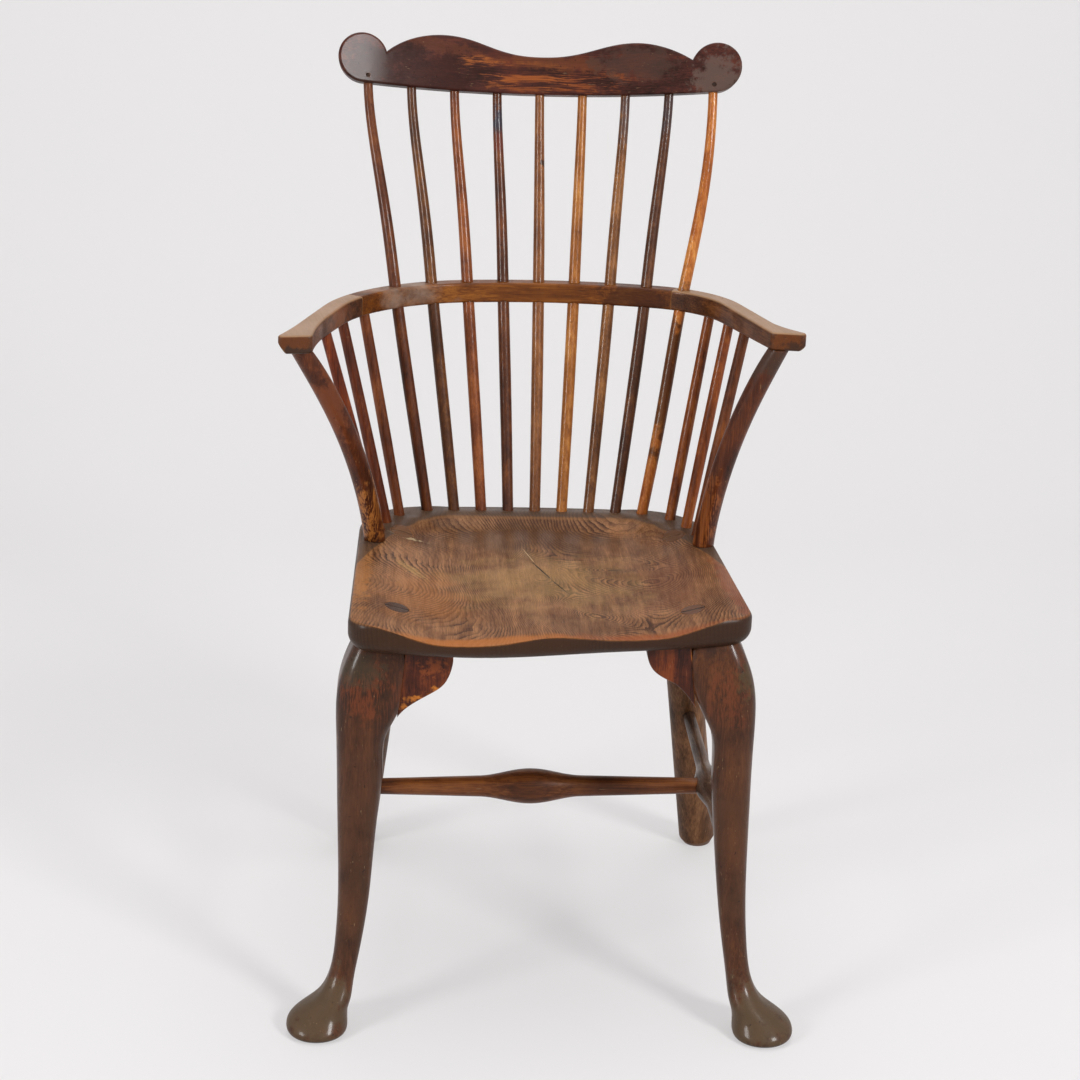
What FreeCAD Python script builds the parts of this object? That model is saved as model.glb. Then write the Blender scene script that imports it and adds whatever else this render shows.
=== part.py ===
import FreeCAD, Part
import math
import os
import Sketcher

# Comb-back armchair. Millimetres. X is to the sitter's left as seen from the front (viewer's right),
# Y runs from the front feet to the back, Z is up from the floor.
# Every position along Y is measured from a datum just behind the front feet's toes, and each piece
# is then moved so that the origin is the middle of the chair's base.

Vector = FreeCAD.Vector
doc = FreeCAD.newDocument("comb_back_armchair")
sheet = doc.addObject("Spreadsheet::Sheet", "Sizes")

driving_sizes = [
    # seat board
    ("seat_top", 458),
    ("seat_thickness", 35),
    ("carving_waste", 3),
    ("seat_front_half_width", 218.5),
    ("seat_back_half_width", 203.5),
    ("seat_front_shift", 2.5),
    ("seat_back_shift", -5.5),
    ("seat_front_y", 52),
    ("seat_corner_y", 82),
    ("seat_front_skew", 18),
    ("seat_back_corner_y", 458),
    ("seat_back_y", 467),
    ("seat_front_corner_radius", 28),
    ("seat_back_corner_radius", 82),
    ("seat_under_round", 18),
    ("seat_rim_round", 10),
    # carved dish
    ("dish_side_margin", 15.5),
    ("dish_side_run", 92),
    ("dish_ridge_y", 440),
    ("dish_ridge_run", 30),
    ("dish_ridge_straight", 100),
    ("dish_ridge_corner_run", 64),
    ("dish_ridge_corner_drop", 62),
    ("dish_rear_depth", 13),
    ("dish_front_depth", 17),
    ("dish_middle_rise", 8),
    ("dish_middle_half_width", 49),
    # front legs
    ("front_leg_inset", 57.5),
    ("front_leg_x_skew", 3),
    ("front_leg_y", 136),
    ("front_leg_y_skew", 5),
    ("leg_tenon_radius", 13),
    ("leg_top_rise", 19),
    ("knee_set_back", 15),
    ("knee_joint_top_in", 8),
    ("knee_joint_low_out", 1),
    ("knee_joint_low_z", 345),
    ("knee_joint_low_skew", 5.5),
    ("foot_out", 83),
    ("foot_y", 15.5),
    ("foot_y_skew", 3.5),
    ("foot_radius", 33),
    ("foot_base_radius", 29),
    # knee brackets
    ("bracket_reach", 48.5),
    ("bracket_reach_skew", 1.5),
    ("bracket_front_y", 95),
    ("bracket_depth", 40),
    ("bracket_edge_round", 2),
    # rear legs
    ("rear_leg_inset", 43.5),
    ("rear_tenon_y", 373),
    ("rear_foot_out", 60.5),
    ("rear_foot_skew", 8),
    ("rear_foot_y", 490),
    ("rear_leg_radius", 22),
    ("rear_foot_radius", 23),
    ("rear_foot_round", 6),
    ("wedge_thickness", 3),
    ("wedge_depth", 36),
    # stretchers
    ("side_stretcher_out", 48),
    ("side_stretcher_front_z", 169.5),
    ("side_stretcher_rear_z", 204.5),
    ("side_stretcher_skew", 2.5),
    ("side_stretcher_radius", 7.5),
    ("side_shaft_radius", 8.5),
    ("side_swelling_radius", 16.5),
    ("side_swelling_half_length", 50),
    ("cross_stretcher_radius", 9.2),
    ("cross_shaft_radius", 12.2),
    ("cross_swelling_radius", 20.5),
    ("cross_swelling_half_length", 62),
    ("cross_stretcher_y", 250),
    ("cross_swelling_offset", 8),
    ("stretcher_socket", 13),
    # arm bow
    ("bow_shift", 5),
    ("bow_back_y", 545),
    ("bow_back_radius", 562),
    ("bow_corner_radius", 166),
    ("bow_corner_skew", 43),
    ("bow_width", 22),
    ("bow_height", 24),
    ("bow_top", 722),
    ("bow_edge_round", 3),
    ("arm_splay", 15.7),
    ("arm_line_x", 285.5),
    ("arm_line_skew", 8),
    ("arm_line_y", 266),
    ("arm_tip_x", 302),
    ("arm_tip_x_skew", 4),
    ("arm_tip_y", 265),
    ("arm_tip_y_skew", 29),
    ("arm_tip_width", 47),
    ("arm_tip_width_skew", 6),
    ("arm_tip_slant", 7),
    ("arm_inner_flare_length", 85),
    ("arm_outer_flare_length", 55),
    ("arm_tip_thickness", 20),
    ("arm_corner_round", 6),
    ("arm_bevel_depth", 16.5),
    ("arm_bevel_skew", 4.5),
    ("arm_bevel_lip", 4.5),
    ("arm_bevel_turn", 9),
    ("arm_joint_angle", 41),
    ("arm_joint_skew", 16),
    ("joint_tenon_length", 9),
    ("joint_tenon_width", 10),
    ("joint_tenon_height", 12),
    ("joint_tenon_root", 6),
    # arm posts
    ("post_inset", 17),
    ("post_inset_skew", 2.7),
    ("post_base_y", 336),
    ("post_top_x", 268),
    ("post_top_x_skew", 12.6),
    ("post_top_y", 290),
    ("post_top_y_skew", 20.6),
    ("post_radius", 12),
    ("post_foot_radius", 12.6),
    ("post_tenon_radius", 8.5),
    ("post_tenon_length", 24),
    ("post_head_tenon_length", 13),
    # spindles
    ("spindle_seat_radius", 6.6),
    ("spindle_rail_radius", 7),
    ("spindle_comb_radius", 5.5),
    ("spindle_seat_socket", 22),
    ("spindle_comb_socket", 24),
    ("seat_row_y", 453),
    ("seat_row_pitch", 32.6),
    ("rail_row_pitch", 42.8),
    ("comb_row_pitch", 51.4),
    ("last_spindle_bow", 5.5),
    ("seat_row_bend", 0.0002),
    ("short_row_skew", 4.2),
    ("short_spindle_radius", 6.2),
    ("short_spindle_socket", 13),
    # comb
    ("comb_y", 598),
    ("comb_shift", -3),
    ("comb_bottom", 940),
    ("comb_bottom_sag", 4.5),
    ("comb_lean", 16.5),
    ("comb_bend_radius", 685),
    ("comb_thickness", 20),
    ("comb_middle_height", 40),
    ("comb_crest_height", 60),
    ("comb_crest_skew", 1.5),
    ("comb_crest_x", 121),
    ("comb_ear_x", 210),
    ("comb_ear_skew", 1.6),
    ("comb_ear_radius", 29),
    ("comb_edge_round", 2.5),
    ("peg_radius", 2.6),
    ("peg_height", 8.5),
    # fits
    ("joint_clearance", 0.2),
]
for row, (alias, value) in enumerate(driving_sizes, start=1):
    sheet.set("A%d" % row, alias)
    sheet.set("B%d" % row, str(value))
    sheet.setAlias("B%d" % row, alias)
doc.recompute()


def size(alias):
    return float(getattr(sheet, alias))


def bound(alias):
    return "Sizes." + alias


def plane(body, role):
    return [f for f in body.Origin.OriginFeatures if f.Role == role][0]


def new_body(name):
    return doc.addObject("PartDesign::Body", name)


def new_sketch(body, role, offset=None):
    sketch = body.newObject("Sketcher::SketchObject", "Sketch")
    sketch.AttachmentSupport = [(plane(body, role), "")]
    sketch.MapMode = "FlatFace"
    if offset is not None:
        sketch.AttachmentOffset = offset
    return sketch


def add_loop(sketch, edges):
    first = sketch.GeometryCount
    for edge in edges:
        sketch.addGeometry(edge, False)
    ends = [(1, 1), (1, 2), (2, 1), (2, 2)]
    for index in range(len(edges)):
        here = first + index
        follower = first + (index + 1) % len(edges)
        gaps = [(sketch.getPoint(here, a) - sketch.getPoint(follower, b)).Length for a, b in ends]
        a, b = ends[gaps.index(min(gaps))]
        sketch.addConstraint(Sketcher.Constraint("Coincident", here, a, follower, b))


def add_polygon(sketch, corners):
    add_loop(sketch, [segment(corners[i], corners[(i + 1) % len(corners)]) for i in range(len(corners))])


def segment(start, end):
    return Part.LineSegment(Vector(start[0], start[1], 0), Vector(end[0], end[1], 0))


def arc_through(start, middle, end):
    return Part.Arc(Vector(*start, 0), Vector(*middle, 0), Vector(*end, 0))


def curve_through(points):
    curve = Part.BSplineCurve()
    curve.interpolate([Vector(x, y, 0) for x, y in points])
    return curve


def pad(body, sketch, length_expression, reversed_pad=False):
    feature = body.newObject("PartDesign::Pad", "Pad")
    feature.Profile = sketch
    feature.setExpression("Length", length_expression)
    feature.Reversed = reversed_pad
    body.Tip = feature
    doc.recompute()
    return feature


def pocket_through(body, sketch):
    feature = body.newObject("PartDesign::Pocket", "Pocket")
    feature.Profile = sketch
    feature.Type = 1
    feature.Midplane = True
    body.Tip = feature
    doc.recompute()
    return feature


def round_edges(body, base, names, alias):
    feature = body.newObject("PartDesign::Fillet", "Fillet")
    feature.Base = (base, names)
    feature.setExpression("Radius", bound(alias))
    body.Tip = feature
    doc.recompute()
    return feature


def edges_where(shape, test):
    return ["Edge%d" % (i + 1) for i, edge in enumerate(shape.Edges) if test(edge)]


def cylinder(name, radius_expression, length, start, direction):
    rod = doc.addObject("Part::Cylinder", name)
    rod.setExpression("Radius", radius_expression)
    rod.Height = length
    rod.Placement = FreeCAD.Placement(start, FreeCAD.Rotation(Vector(0, 0, 1), direction))
    return rod


def block(name, corner, extent):
    box = doc.addObject("Part::Box", name)
    box.Length, box.Width, box.Height = extent
    box.Placement.Base = corner
    return box


def cut(name, base, tools):
    tool = tools[0]
    if len(tools) > 1:
        tool = doc.addObject("Part::MultiFuse", name + "_tools")
        tool.Shapes = tools
    result = doc.addObject("Part::Cut", name)
    result.Base = base
    result.Tool = tool
    return result


def fuse(name, pieces):
    result = doc.addObject("Part::MultiFuse", name)
    result.Shapes = pieces
    return result


pieces = {}


def keep(name, feature):
    feature.Label = name
    pieces[name] = feature


sides = (("left", -1), ("right", 1))
seat_bottom = size("seat_top") - size("seat_thickness")
clearance = size("joint_clearance")
far = 2000  # wide enough for a block that cuts a piece off anywhere


# Stations along a bent rod: at each place a circle, square to the rod, whole or in four quarters.

def station(body, place, direction, radius, quartered=False):
    across = Vector(0, 1, 0).cross(direction).normalize()
    turn = FreeCAD.Rotation(across, direction.cross(across), direction)
    sketch = new_sketch(body, "XY_Plane", FreeCAD.Placement(place, turn))
    if quartered:
        turns = [math.radians(45 * step) for step in range(9)]
        points = [(radius * math.cos(turn), radius * math.sin(turn)) for turn in turns]
        add_loop(sketch, [arc_through(*points[first:first + 3]) for first in (0, 2, 4, 6)])
    else:
        sketch.addGeometry(Part.Circle(Vector(0, 0, 0), Vector(0, 0, 1), radius), False)
    return sketch


def loft(body, sketches):
    feature = body.newObject("PartDesign::AdditiveLoft", "Loft")
    feature.Profile = sketches[0]
    feature.Sections = sketches[1:]
    body.Tip = feature
    doc.recompute()
    return feature


# Turned rods

def rod(name, profile, start, direction):
    # turned about the line from start; the profile holds radius across and distance along
    body = new_body(name)
    sketch = new_sketch(body, "XZ_Plane")
    add_loop(sketch, profile)
    turned = body.newObject("PartDesign::Revolution", "Revolution")
    turned.Profile = sketch
    turned.ReferenceAxis = (sketch, ["V_Axis"])
    turned.Angle = 360
    body.Tip = turned
    body.Placement = FreeCAD.Placement(start, FreeCAD.Rotation(Vector(0, 0, 1), direction))
    doc.recompute()
    return body


def straight_profile(rows):
    corners = [(0, rows[0][1])] + rows + [(0, rows[-1][1])]
    return [segment(corners[i], corners[(i + 1) % len(corners)]) for i in range(len(corners))]


# Seat blank: a D-shaped board with bowed front and back edges.

# the front edge between its corners: x, and how far behind the middle's y
seat_front_line = [(-150, -2), (-75, -8), (59, 12), (150, 27)]


def seat_blank():
    body = new_body("SeatBlank")
    sketch = new_sketch(body, "XY_Plane")
    front = size("seat_front_half_width")
    back = size("seat_back_half_width")
    front_shift, back_shift = size("seat_front_shift"), size("seat_back_shift")
    corner_y, skew, back_y = size("seat_corner_y"), size("seat_front_skew"), size("seat_back_corner_y")
    corners = [
        (front_shift - front, corner_y - skew, "Sizes.seat_front_shift - Sizes.seat_front_half_width",
         "Sizes.seat_corner_y - Sizes.seat_front_skew"),
        (front_shift + front, corner_y + skew, "Sizes.seat_front_shift + Sizes.seat_front_half_width",
         "Sizes.seat_corner_y + Sizes.seat_front_skew"),
        (back_shift + back, back_y, "Sizes.seat_back_shift + Sizes.seat_back_half_width",
         bound("seat_back_corner_y")),
        (back_shift - back, back_y, "Sizes.seat_back_shift - Sizes.seat_back_half_width",
         bound("seat_back_corner_y")),
    ]
    at = [corner[:2] for corner in corners]
    middle = size("seat_front_y")
    front_line = [(x, middle + off) for x, off in seat_front_line]
    add_loop(sketch, [
        curve_through([at[0]] + front_line + [at[1]]),
        segment(at[1], at[2]),
        arc_through(at[2], (0, size("seat_back_y")), at[3]),
        segment(at[3], at[0]),
    ])
    for index, (x, y, x_name, y_name) in enumerate(corners):
        for kind, value, name in (("DistanceX", x, x_name), ("DistanceY", y, y_name)):
            number = sketch.addConstraint(Sketcher.Constraint(kind, -1, 1, index, 1, float(value)))
            sketch.setExpression("Constraints[%d]" % number, name)
    board = pad(body, sketch, "Sizes.seat_thickness + Sizes.carving_waste")
    upright = [
        lambda e: is_upright(e) and e.CenterOfMass.y < corner_y + skew + 1,
        lambda e: is_upright(e) and abs(e.CenterOfMass.y - back_y) < 1,
    ]
    board = round_edges(body, board, edges_where(board.Shape, upright[0]), "seat_front_corner_radius")
    board = round_edges(body, board, edges_where(board.Shape, upright[1]), "seat_back_corner_radius")
    low = edges_where(board.Shape, lambda e: e.BoundBox.ZMax < 0.01)
    board = round_edges(body, board, low, "seat_under_round")
    top = size("seat_thickness") + size("carving_waste")
    high = edges_where(board.Shape, lambda e: e.BoundBox.ZMin > top - 0.01)
    round_edges(body, board, high, "seat_rim_round")
    body.Placement.Base = Vector(0, 0, seat_bottom)
    doc.recompute()
    return body


def is_curved(edge):
    return edge.Curve.TypeId == "Part::GeomBSplineCurve"


def is_upright(edge):
    box = edge.BoundBox
    return box.XLength < 0.01 and box.YLength < 0.01


def seat_edge_x(side, y):
    # where the seat's straight side edge stands at a given y
    front_x = size("seat_front_shift") + side * size("seat_front_half_width")
    back_x = size("seat_back_shift") + side * size("seat_back_half_width")
    front_y = size("seat_corner_y") + side * size("seat_front_skew")
    return front_x + (back_x - front_x) * (y - front_y) / (size("seat_back_corner_y") - front_y)


# Carved dish: depth below the seat's top as a formula of x and y.

def smooth(t):
    t = max(0.0, min(1.0, t))
    return t * t * (3 - 2 * t)


def dish_depth(x, y):
    beyond = max(0.0, abs(x) - size("dish_ridge_straight")) / size("dish_ridge_corner_run")
    ridge = size("dish_ridge_y") - size("dish_ridge_corner_drop") * beyond ** 2
    dish_side = size("seat_front_half_width") - size("dish_side_margin")
    from_side = smooth((dish_side - abs(x)) / size("dish_side_run"))
    from_ridge = smooth((ridge - y) / size("dish_ridge_run"))
    length = size("dish_ridge_y") - size("seat_front_y")
    forward = smooth((size("dish_ridge_y") - y) / length)
    depth = size("dish_rear_depth") + (size("dish_front_depth") - size("dish_rear_depth")) * forward
    middle = math.exp(-(x / size("dish_middle_half_width")) ** 2)
    depth -= size("dish_middle_rise") * middle * (0.25 + 0.75 * forward)
    return depth * from_side * from_ridge


def saddle_cutter():
    half = size("seat_front_half_width") + 10
    first = size("seat_front_y") - 25
    last = size("seat_back_y") + 15
    across, along = 27, 33
    rows = []
    for i in range(across):
        x = -half + 2 * half * i / (across - 1)
        row = []
        for j in range(along):
            y = first + (last - first) * j / (along - 1)
            row.append(Vector(x, y, size("seat_top") - dish_depth(x, y)))
        rows.append(row)
    surface = Part.BSplineSurface()
    surface.interpolate(rows)
    feature = doc.addObject("Part::Feature", "SaddleCutter")
    feature.Shape = surface.toShape().extrude(Vector(0, 0, 60))
    return feature


cutter = saddle_cutter()
blank = seat_blank()


# Front legs: rounded square sections from the square knee down to the round foot.

leg_x = size("seat_front_half_width") - size("front_leg_inset")
joint_top_x = leg_x - size("knee_joint_top_in")
joint_low_x = leg_x + size("knee_joint_low_out")
leg_top = seat_bottom + size("leg_top_rise")
knee_height = 374
ankle_height = 60
rear_tenon_root = 15
tenon_spare = 14
# where the foot of the table below stands; each leg's own foot is moved from here
toe_table_y = 19


def foot_place(side):
    return leg_x + size("foot_out"), size("foot_y") - side * size("foot_y_skew")


def leg_sections(side):
    joint = joint_top_x - leg_x - 3
    foot_x, foot_y = foot_place(side)
    # the right leg's inner curve stands a little further out
    out = 1 if side > 0 else 0
    # height, then inner and outer x from the leg's middle, front and back y of a leg that stands
    # upright, and the corner radius as a share of the half width
    upright = [
        (leg_top, joint, 36, 95, 137, 0.6),
        (seat_bottom, joint, 47, 83, 139, 0.5),
        (400, joint, 57.5, 74, 141, 0.5),
        (knee_height, joint + 3 + 4 * out, 65, 68, 139, 0.55),
        (345, joint + 11 + 9 * out, 67, 63, 131, 0.65),
        (318, 13 + 8 * out, 66.3, 60.5, 116, 0.8),
        (285, 15.5 + 7 * out, 65.5, 58, 106, 0.9),
        (240, 19.5 + 4.5 * out, 64.5, 53.5, 96, 0.94),
        (190, 24.5 + 3 * out, 63, 47, 83, 0.96),
        (140, 29 + 3 * out, 62.5, 39.5, 71, 0.97),
        (100, 35 + 2 * out, 64.5, 33, 61.5, 0.97),
        (74, 40 + out, 67.5, 27, 56.5, 0.97),
        (53, 44, 73.5, 18.5, 53.5, 0.97),
        (37, 46.5, 85, 6, 52, 0.97),
    ]
    back = size("knee_set_back") + side * size("front_leg_y_skew")
    rows = []
    for z, x_in, x_out, y_front, y_back, share in upright:
        move = back * smooth((z - ankle_height) / (knee_height - ankle_height))
        toe = (foot_y - toe_table_y) * (1 - smooth(z / knee_height))
        rows.append((z, leg_x + x_in, leg_x + x_out, y_front + move + toe, y_back + move + toe, share))
    disc, base = size("foot_radius"), size("foot_base_radius")
    for z, near, away in ((23, disc, disc - 10), (12, disc, disc), (0, base, base)):
        rows.append((z, foot_x - near, foot_x + away, foot_y - away, foot_y + near, 0.97))
    return rows


def rounded_square(sketch, x0, x1, y0, y1, share):
    radius = share * min(x1 - x0, y1 - y0) / 2
    edges = []
    corners = [(x1, y0, 1, -1), (x1, y1, 1, 1), (x0, y1, -1, 1), (x0, y0, -1, -1)]
    turns = [-90, 0, 90, 180]
    ends = []
    for (x, y, sx, sy), turn in zip(corners, turns):
        centre = (x - sx * radius, y - sy * radius)
        points = []
        for part in (0, 45, 90):
            angle = math.radians(turn + part)
            points.append((centre[0] + radius * math.cos(angle), centre[1] + radius * math.sin(angle)))
        ends.append(points)
    for index, points in enumerate(ends):
        edges.append(arc_through(*points))
        edges.append(segment(points[2], ends[(index + 1) % 4][0]))
    add_loop(sketch, edges)


def knee_joint_low(side):
    return size("knee_joint_low_z") + side * size("knee_joint_low_skew")


def knee_joint_x(side, z):
    share = (seat_bottom - z) / (seat_bottom - knee_joint_low(side))
    return joint_top_x + (joint_low_x - joint_top_x) * share


def wedge_and_tenon(name, start, direction, length):
    tenon = cylinder(name + "Tenon", bound("leg_tenon_radius"), length, start, direction)
    end = start + direction * length
    slot = doc.addObject("Part::Box", name + "Kerf")
    slot.setExpression("Width", bound("wedge_thickness"))
    slot.Length = 4 * size("leg_tenon_radius")
    slot.setExpression("Height", bound("wedge_depth") + " + 10")
    corner = Vector(-2 * size("leg_tenon_radius"), -size("wedge_thickness") / 2, -size("wedge_depth"))
    turn = FreeCAD.Rotation(Vector(0, 0, 1), direction)
    slot.Placement = FreeCAD.Placement(end + turn.multVec(corner), turn)
    wedge_blank = doc.addObject("Part::Common", name + "WedgeBlank")
    wedge_blank.Base = slot
    wedge_blank.Tool = tenon
    return tenon, slot, wedge_blank


def tenon_hole(name, place, direction):
    # a hole through the seat, longer than the board is thick at both ends
    lead = 30
    return cylinder(name, bound("leg_tenon_radius") + " + Sizes.joint_clearance",
                    size("seat_thickness") + 3 * lead, place - direction * lead, direction)


def front_tenon_place(side, z):
    return Vector(side * (leg_x - side * size("front_leg_x_skew")),
                  size("front_leg_y") + side * size("front_leg_y_skew"), z)


def front_leg(label, side):
    name = "FrontLeg" + label.capitalize()
    body = new_body(name)
    sketches = []
    for z, x_in, x_out, y_front, y_back, share in leg_sections(side):
        sketch = new_sketch(body, "XY_Plane", FreeCAD.Placement(Vector(0, 0, z), FreeCAD.Rotation()))
        x0, x1 = (x_in, x_out) if side > 0 else (-x_out, -x_in)
        rounded_square(sketch, x0, x1, y_front, y_back, share)
        sketches.append(sketch)
    loft(body, sketches)
    flat = new_sketch(body, "XZ_Plane")
    inner = side * (joint_top_x - 60)
    low_z = knee_joint_low(side) - 6
    high_z = leg_top + 6
    top = (side * knee_joint_x(side, high_z), high_z)
    low = (side * knee_joint_x(side, low_z), low_z)
    add_polygon(flat, [top, low, (inner, low_z), (inner, high_z)])
    pocket_through(body, flat)
    shaped = cut(name + "Shaped", body, [blank])
    # the tenon starts just inside the leg and is cut off flush with the carved seat
    start = front_tenon_place(side, seat_bottom - 1)
    return shaped, wedge_and_tenon(name, start, Vector(0, 0, 1), size("seat_thickness") + tenon_spare)


# Knee brackets: sawn blocks glued into the corner between leg and seat.

bracket_curves = {
    # across from the inner end to the leg, and down from the seat, both as shares of the bracket
    "left": [(0, 0.22), (0.05, 0.38), (0.17, 0.54), (0.39, 0.66), (0.73, 0.81), (1, 1)],
    "right": [(0, 0.12), (0.04, 0.26), (0.12, 0.38), (0.3, 0.5), (0.6, 0.63), (0.82, 0.8), (1, 1)],
}


def knee_bracket(label, side):
    name = "KneeBracket" + label.capitalize()
    body = new_body(name)
    outline = new_sketch(body, "XZ_Plane")
    x_in = joint_top_x - size("bracket_reach") + side * size("bracket_reach_skew")
    z_low = knee_joint_low(side)
    run_x = knee_joint_x(side, z_low) - x_in
    drop = seat_bottom - z_low
    shape = [(side * (x_in + run_x * u), seat_bottom - drop * v) for u, v in bracket_curves[label]]
    top_in = (side * x_in, leg_top)
    top_out = (side * knee_joint_x(side, leg_top), leg_top)
    add_loop(outline, [
        segment(top_out, top_in),
        segment(top_in, shape[0]),
        curve_through(shape),
        segment(shape[-1], top_out),
    ])
    board = pad(body, outline, bound("bracket_depth"), reversed_pad=True)
    curved = edges_where(board.Shape, lambda e: is_curved(e) and e.BoundBox.YLength < 0.01)
    round_edges(body, board, curved, "bracket_edge_round")
    body.Placement.Base = Vector(0, size("bracket_front_y") + side * size("front_leg_y_skew"), 0)
    return cut(name + "Shaped", body, [blank])


def rear_leg_axis(side):
    top_x = size("seat_back_half_width") - size("rear_leg_inset")
    top = Vector(side * top_x, size("rear_tenon_y"), size("seat_top"))
    foot_x = side * (top_x + size("rear_foot_out")) + size("rear_foot_skew")
    return top, Vector(foot_x, size("rear_foot_y"), 0)


def rear_leg_place(side, z):
    top, foot = rear_leg_axis(side)
    return foot + (top - foot) * (z / size("seat_top"))


def rear_leg(label, side):
    top, foot = rear_leg_axis(side)
    direction = (top - foot).normalize()
    length = (top - foot).Length
    name = "RearLeg" + label.capitalize()
    beyond = 12
    round_end = size("rear_foot_round")
    profile = straight_profile([
        (size("rear_foot_radius") - round_end, -beyond),
        (size("rear_foot_radius") - round_end, 0),
        (size("rear_foot_radius"), 2 * round_end),
        (size("rear_leg_radius"), length * 0.45),
        (size("rear_leg_radius") - 1, length + beyond),
    ])
    body = rod(name, profile, foot, direction)
    floor_block = block(name + "Floor", Vector(-far / 2, -far / 2, -100), (far, far, 100))
    seat_block = block(name + "Shoulder", Vector(-far / 2, -far / 2, seat_bottom), (far, far, 200))
    shaft = cut(name + "Shaft", body, [floor_block, seat_block])
    start = rear_leg_place(side, seat_bottom - rear_tenon_root)
    rise = size("seat_thickness") + rear_tenon_root + tenon_spare
    return shaft, wedge_and_tenon(name, start, direction, rise)


# Stretchers: turned rods with a round swelling and parallel ends.

def stretcher(name, start, end, swelling_at, kind):
    length = (end - start).Length
    direction = (end - start).normalize()
    tip, shaft = size(kind + "_stretcher_radius"), size(kind + "_shaft_radius")
    half, socket = size(kind + "_swelling_half_length"), size("stretcher_socket")
    rise = size(kind + "_swelling_radius") - shaft
    steps = [k / 4 for k in range(-4, 5)]
    swell = [(shaft + rise * (1 + math.cos(math.pi * t)) / 2, swelling_at + half * t) for t in steps]
    profile = [
        segment((0, 0), (tip, 0)),
        segment((tip, 0), (tip, socket)),
        segment((tip, socket), swell[0]),
        curve_through(swell),
        segment(swell[-1], (tip, length - socket)),
        segment((tip, length - socket), (tip, length)),
        segment((tip, length), (0, length)),
        segment((0, length), (0, 0)),
    ]
    return rod(name, profile, start, direction)


def front_leg_back(side, z):
    rows = sorted(leg_sections(side))
    for low, high in zip(rows, rows[1:]):
        if low[0] <= z <= high[0]:
            share = (z - low[0]) / (high[0] - low[0])
            return low[4] + (high[4] - low[4]) * share


def side_stretcher_line(side):
    skew = side * size("side_stretcher_skew")
    z_front, z_rear = size("side_stretcher_front_z") + skew, size("side_stretcher_rear_z") + skew
    front_x = leg_x + size("side_stretcher_out")
    front = Vector(side * front_x, front_leg_back(side, z_front), z_front)
    rear = rear_leg_place(side, z_rear)
    run = (rear - front).normalize()
    front_end = front - run * size("stretcher_socket")
    rear_end = rear - run * (size("rear_leg_radius") - size("stretcher_socket"))
    return front_end, rear_end


def side_stretcher_at(side, y):
    front_end, rear_end = side_stretcher_line(side)
    return front_end + (rear_end - front_end) * ((y - front_end.y) / (rear_end.y - front_end.y))


def mortise(name, radius_alias, mouth, direction, depth, lead=30):
    # a hole that starts outside the wood, goes in along direction and ends at its depth
    start = mouth - direction * lead
    expression = bound(radius_alias) + " + Sizes.joint_clearance"
    return cylinder(name, expression, lead + depth + clearance, start, direction)


# Arm bow: back arc, tighter corner arcs and straight splayed arms, all tangent. It is laid out for each
# side about its own middle, which stands a little off the chair's; the left corner is the wider one.

splay = math.radians(size("arm_splay"))
outward = Vector(math.cos(splay), math.sin(splay), 0)
forward = Vector(math.sin(splay), -math.cos(splay), 0)
line_turn = math.pi / 2 - splay
back_centre = Vector(0, size("bow_back_y") - size("bow_back_radius"), 0)
bow_bottom = size("bow_top") - size("bow_height")


def bow_corner(side):
    # centre and radius of the corner arc, and how far round the back arc it begins
    radius = size("bow_corner_radius") - side * size("bow_corner_skew")
    line_x = size("arm_line_x") - side * size("arm_line_skew")
    line_offset = outward.dot(Vector(line_x, size("arm_line_y"), 0))
    reach = size("bow_back_radius") - radius
    turn = math.asin((line_offset - radius - outward.dot(back_centre)) / reach) - splay
    return back_centre + Vector(math.sin(turn), math.cos(turn), 0) * reach, radius, turn


def joint_turn(side):
    return math.radians(size("arm_joint_angle") - side * size("arm_joint_skew"))


def bow_point(side, turn, inset):
    # turn is measured from straight back round to the side; inset goes inwards from the outer edge
    centre, radius, begins = bow_corner(side)
    if turn <= begins:
        centre, radius = back_centre, size("bow_back_radius")
    return centre + Vector(math.sin(turn), math.cos(turn), 0) * (radius - inset)


def flat(vector, side=1):
    return (side * vector.x, vector.y)


def on_side(vector, side, z=0):
    # from the bow's own layout to the chair
    return Vector(size("bow_shift") + side * vector.x, vector.y, z)


def bow_middle_at(x):
    # the bow's middle line behind a given x of the chair, on its back arc or its corner arc
    half = size("bow_width") / 2
    across = x - size("bow_shift")
    side = 1 if across > 0 else -1
    centre, radius, begins = bow_corner(side)
    turn = math.asin(abs(across) / (size("bow_back_radius") - half))
    if turn > begins:
        turn = math.asin((abs(across) - centre.x) / (radius - half))
    return on_side(bow_point(side, turn, half), side, size("bow_top") - size("bow_height") / 2)


def arm_middle_at(side, y):
    half = size("bow_width") / 2
    corner_end = bow_point(side, line_turn, half)
    if y <= corner_end.y:
        return corner_end + forward * ((corner_end.y - y) / math.cos(splay))
    centre, radius, begins = bow_corner(side)
    return bow_point(side, math.acos((y - centre.y) / (radius - half)), half)


def at_joint(edge):
    # the short edges across the bow where rail and arm meet stay crisp
    side = 1 if edge.CenterOfMass.x > 0 else -1
    across = Vector(math.cos(joint_turn(side)), -math.sin(joint_turn(side)), 0)
    middle = Vector(abs(edge.CenterOfMass.x), edge.CenterOfMass.y, 0) - bow_corner(side)[0]
    return abs(middle.dot(across)) < 0.05 and edge.Length < size("bow_width") * 1.3


def corner_arc(side, inset):
    # the part of the corner that belongs to the rail, from the joint to where the back arc begins
    begins = bow_corner(side)[2]
    turns = (joint_turn(side), (joint_turn(side) + begins) / 2, begins + 0.00001)
    return [flat(bow_point(side, turn, inset), side) for turn in turns]


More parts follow.
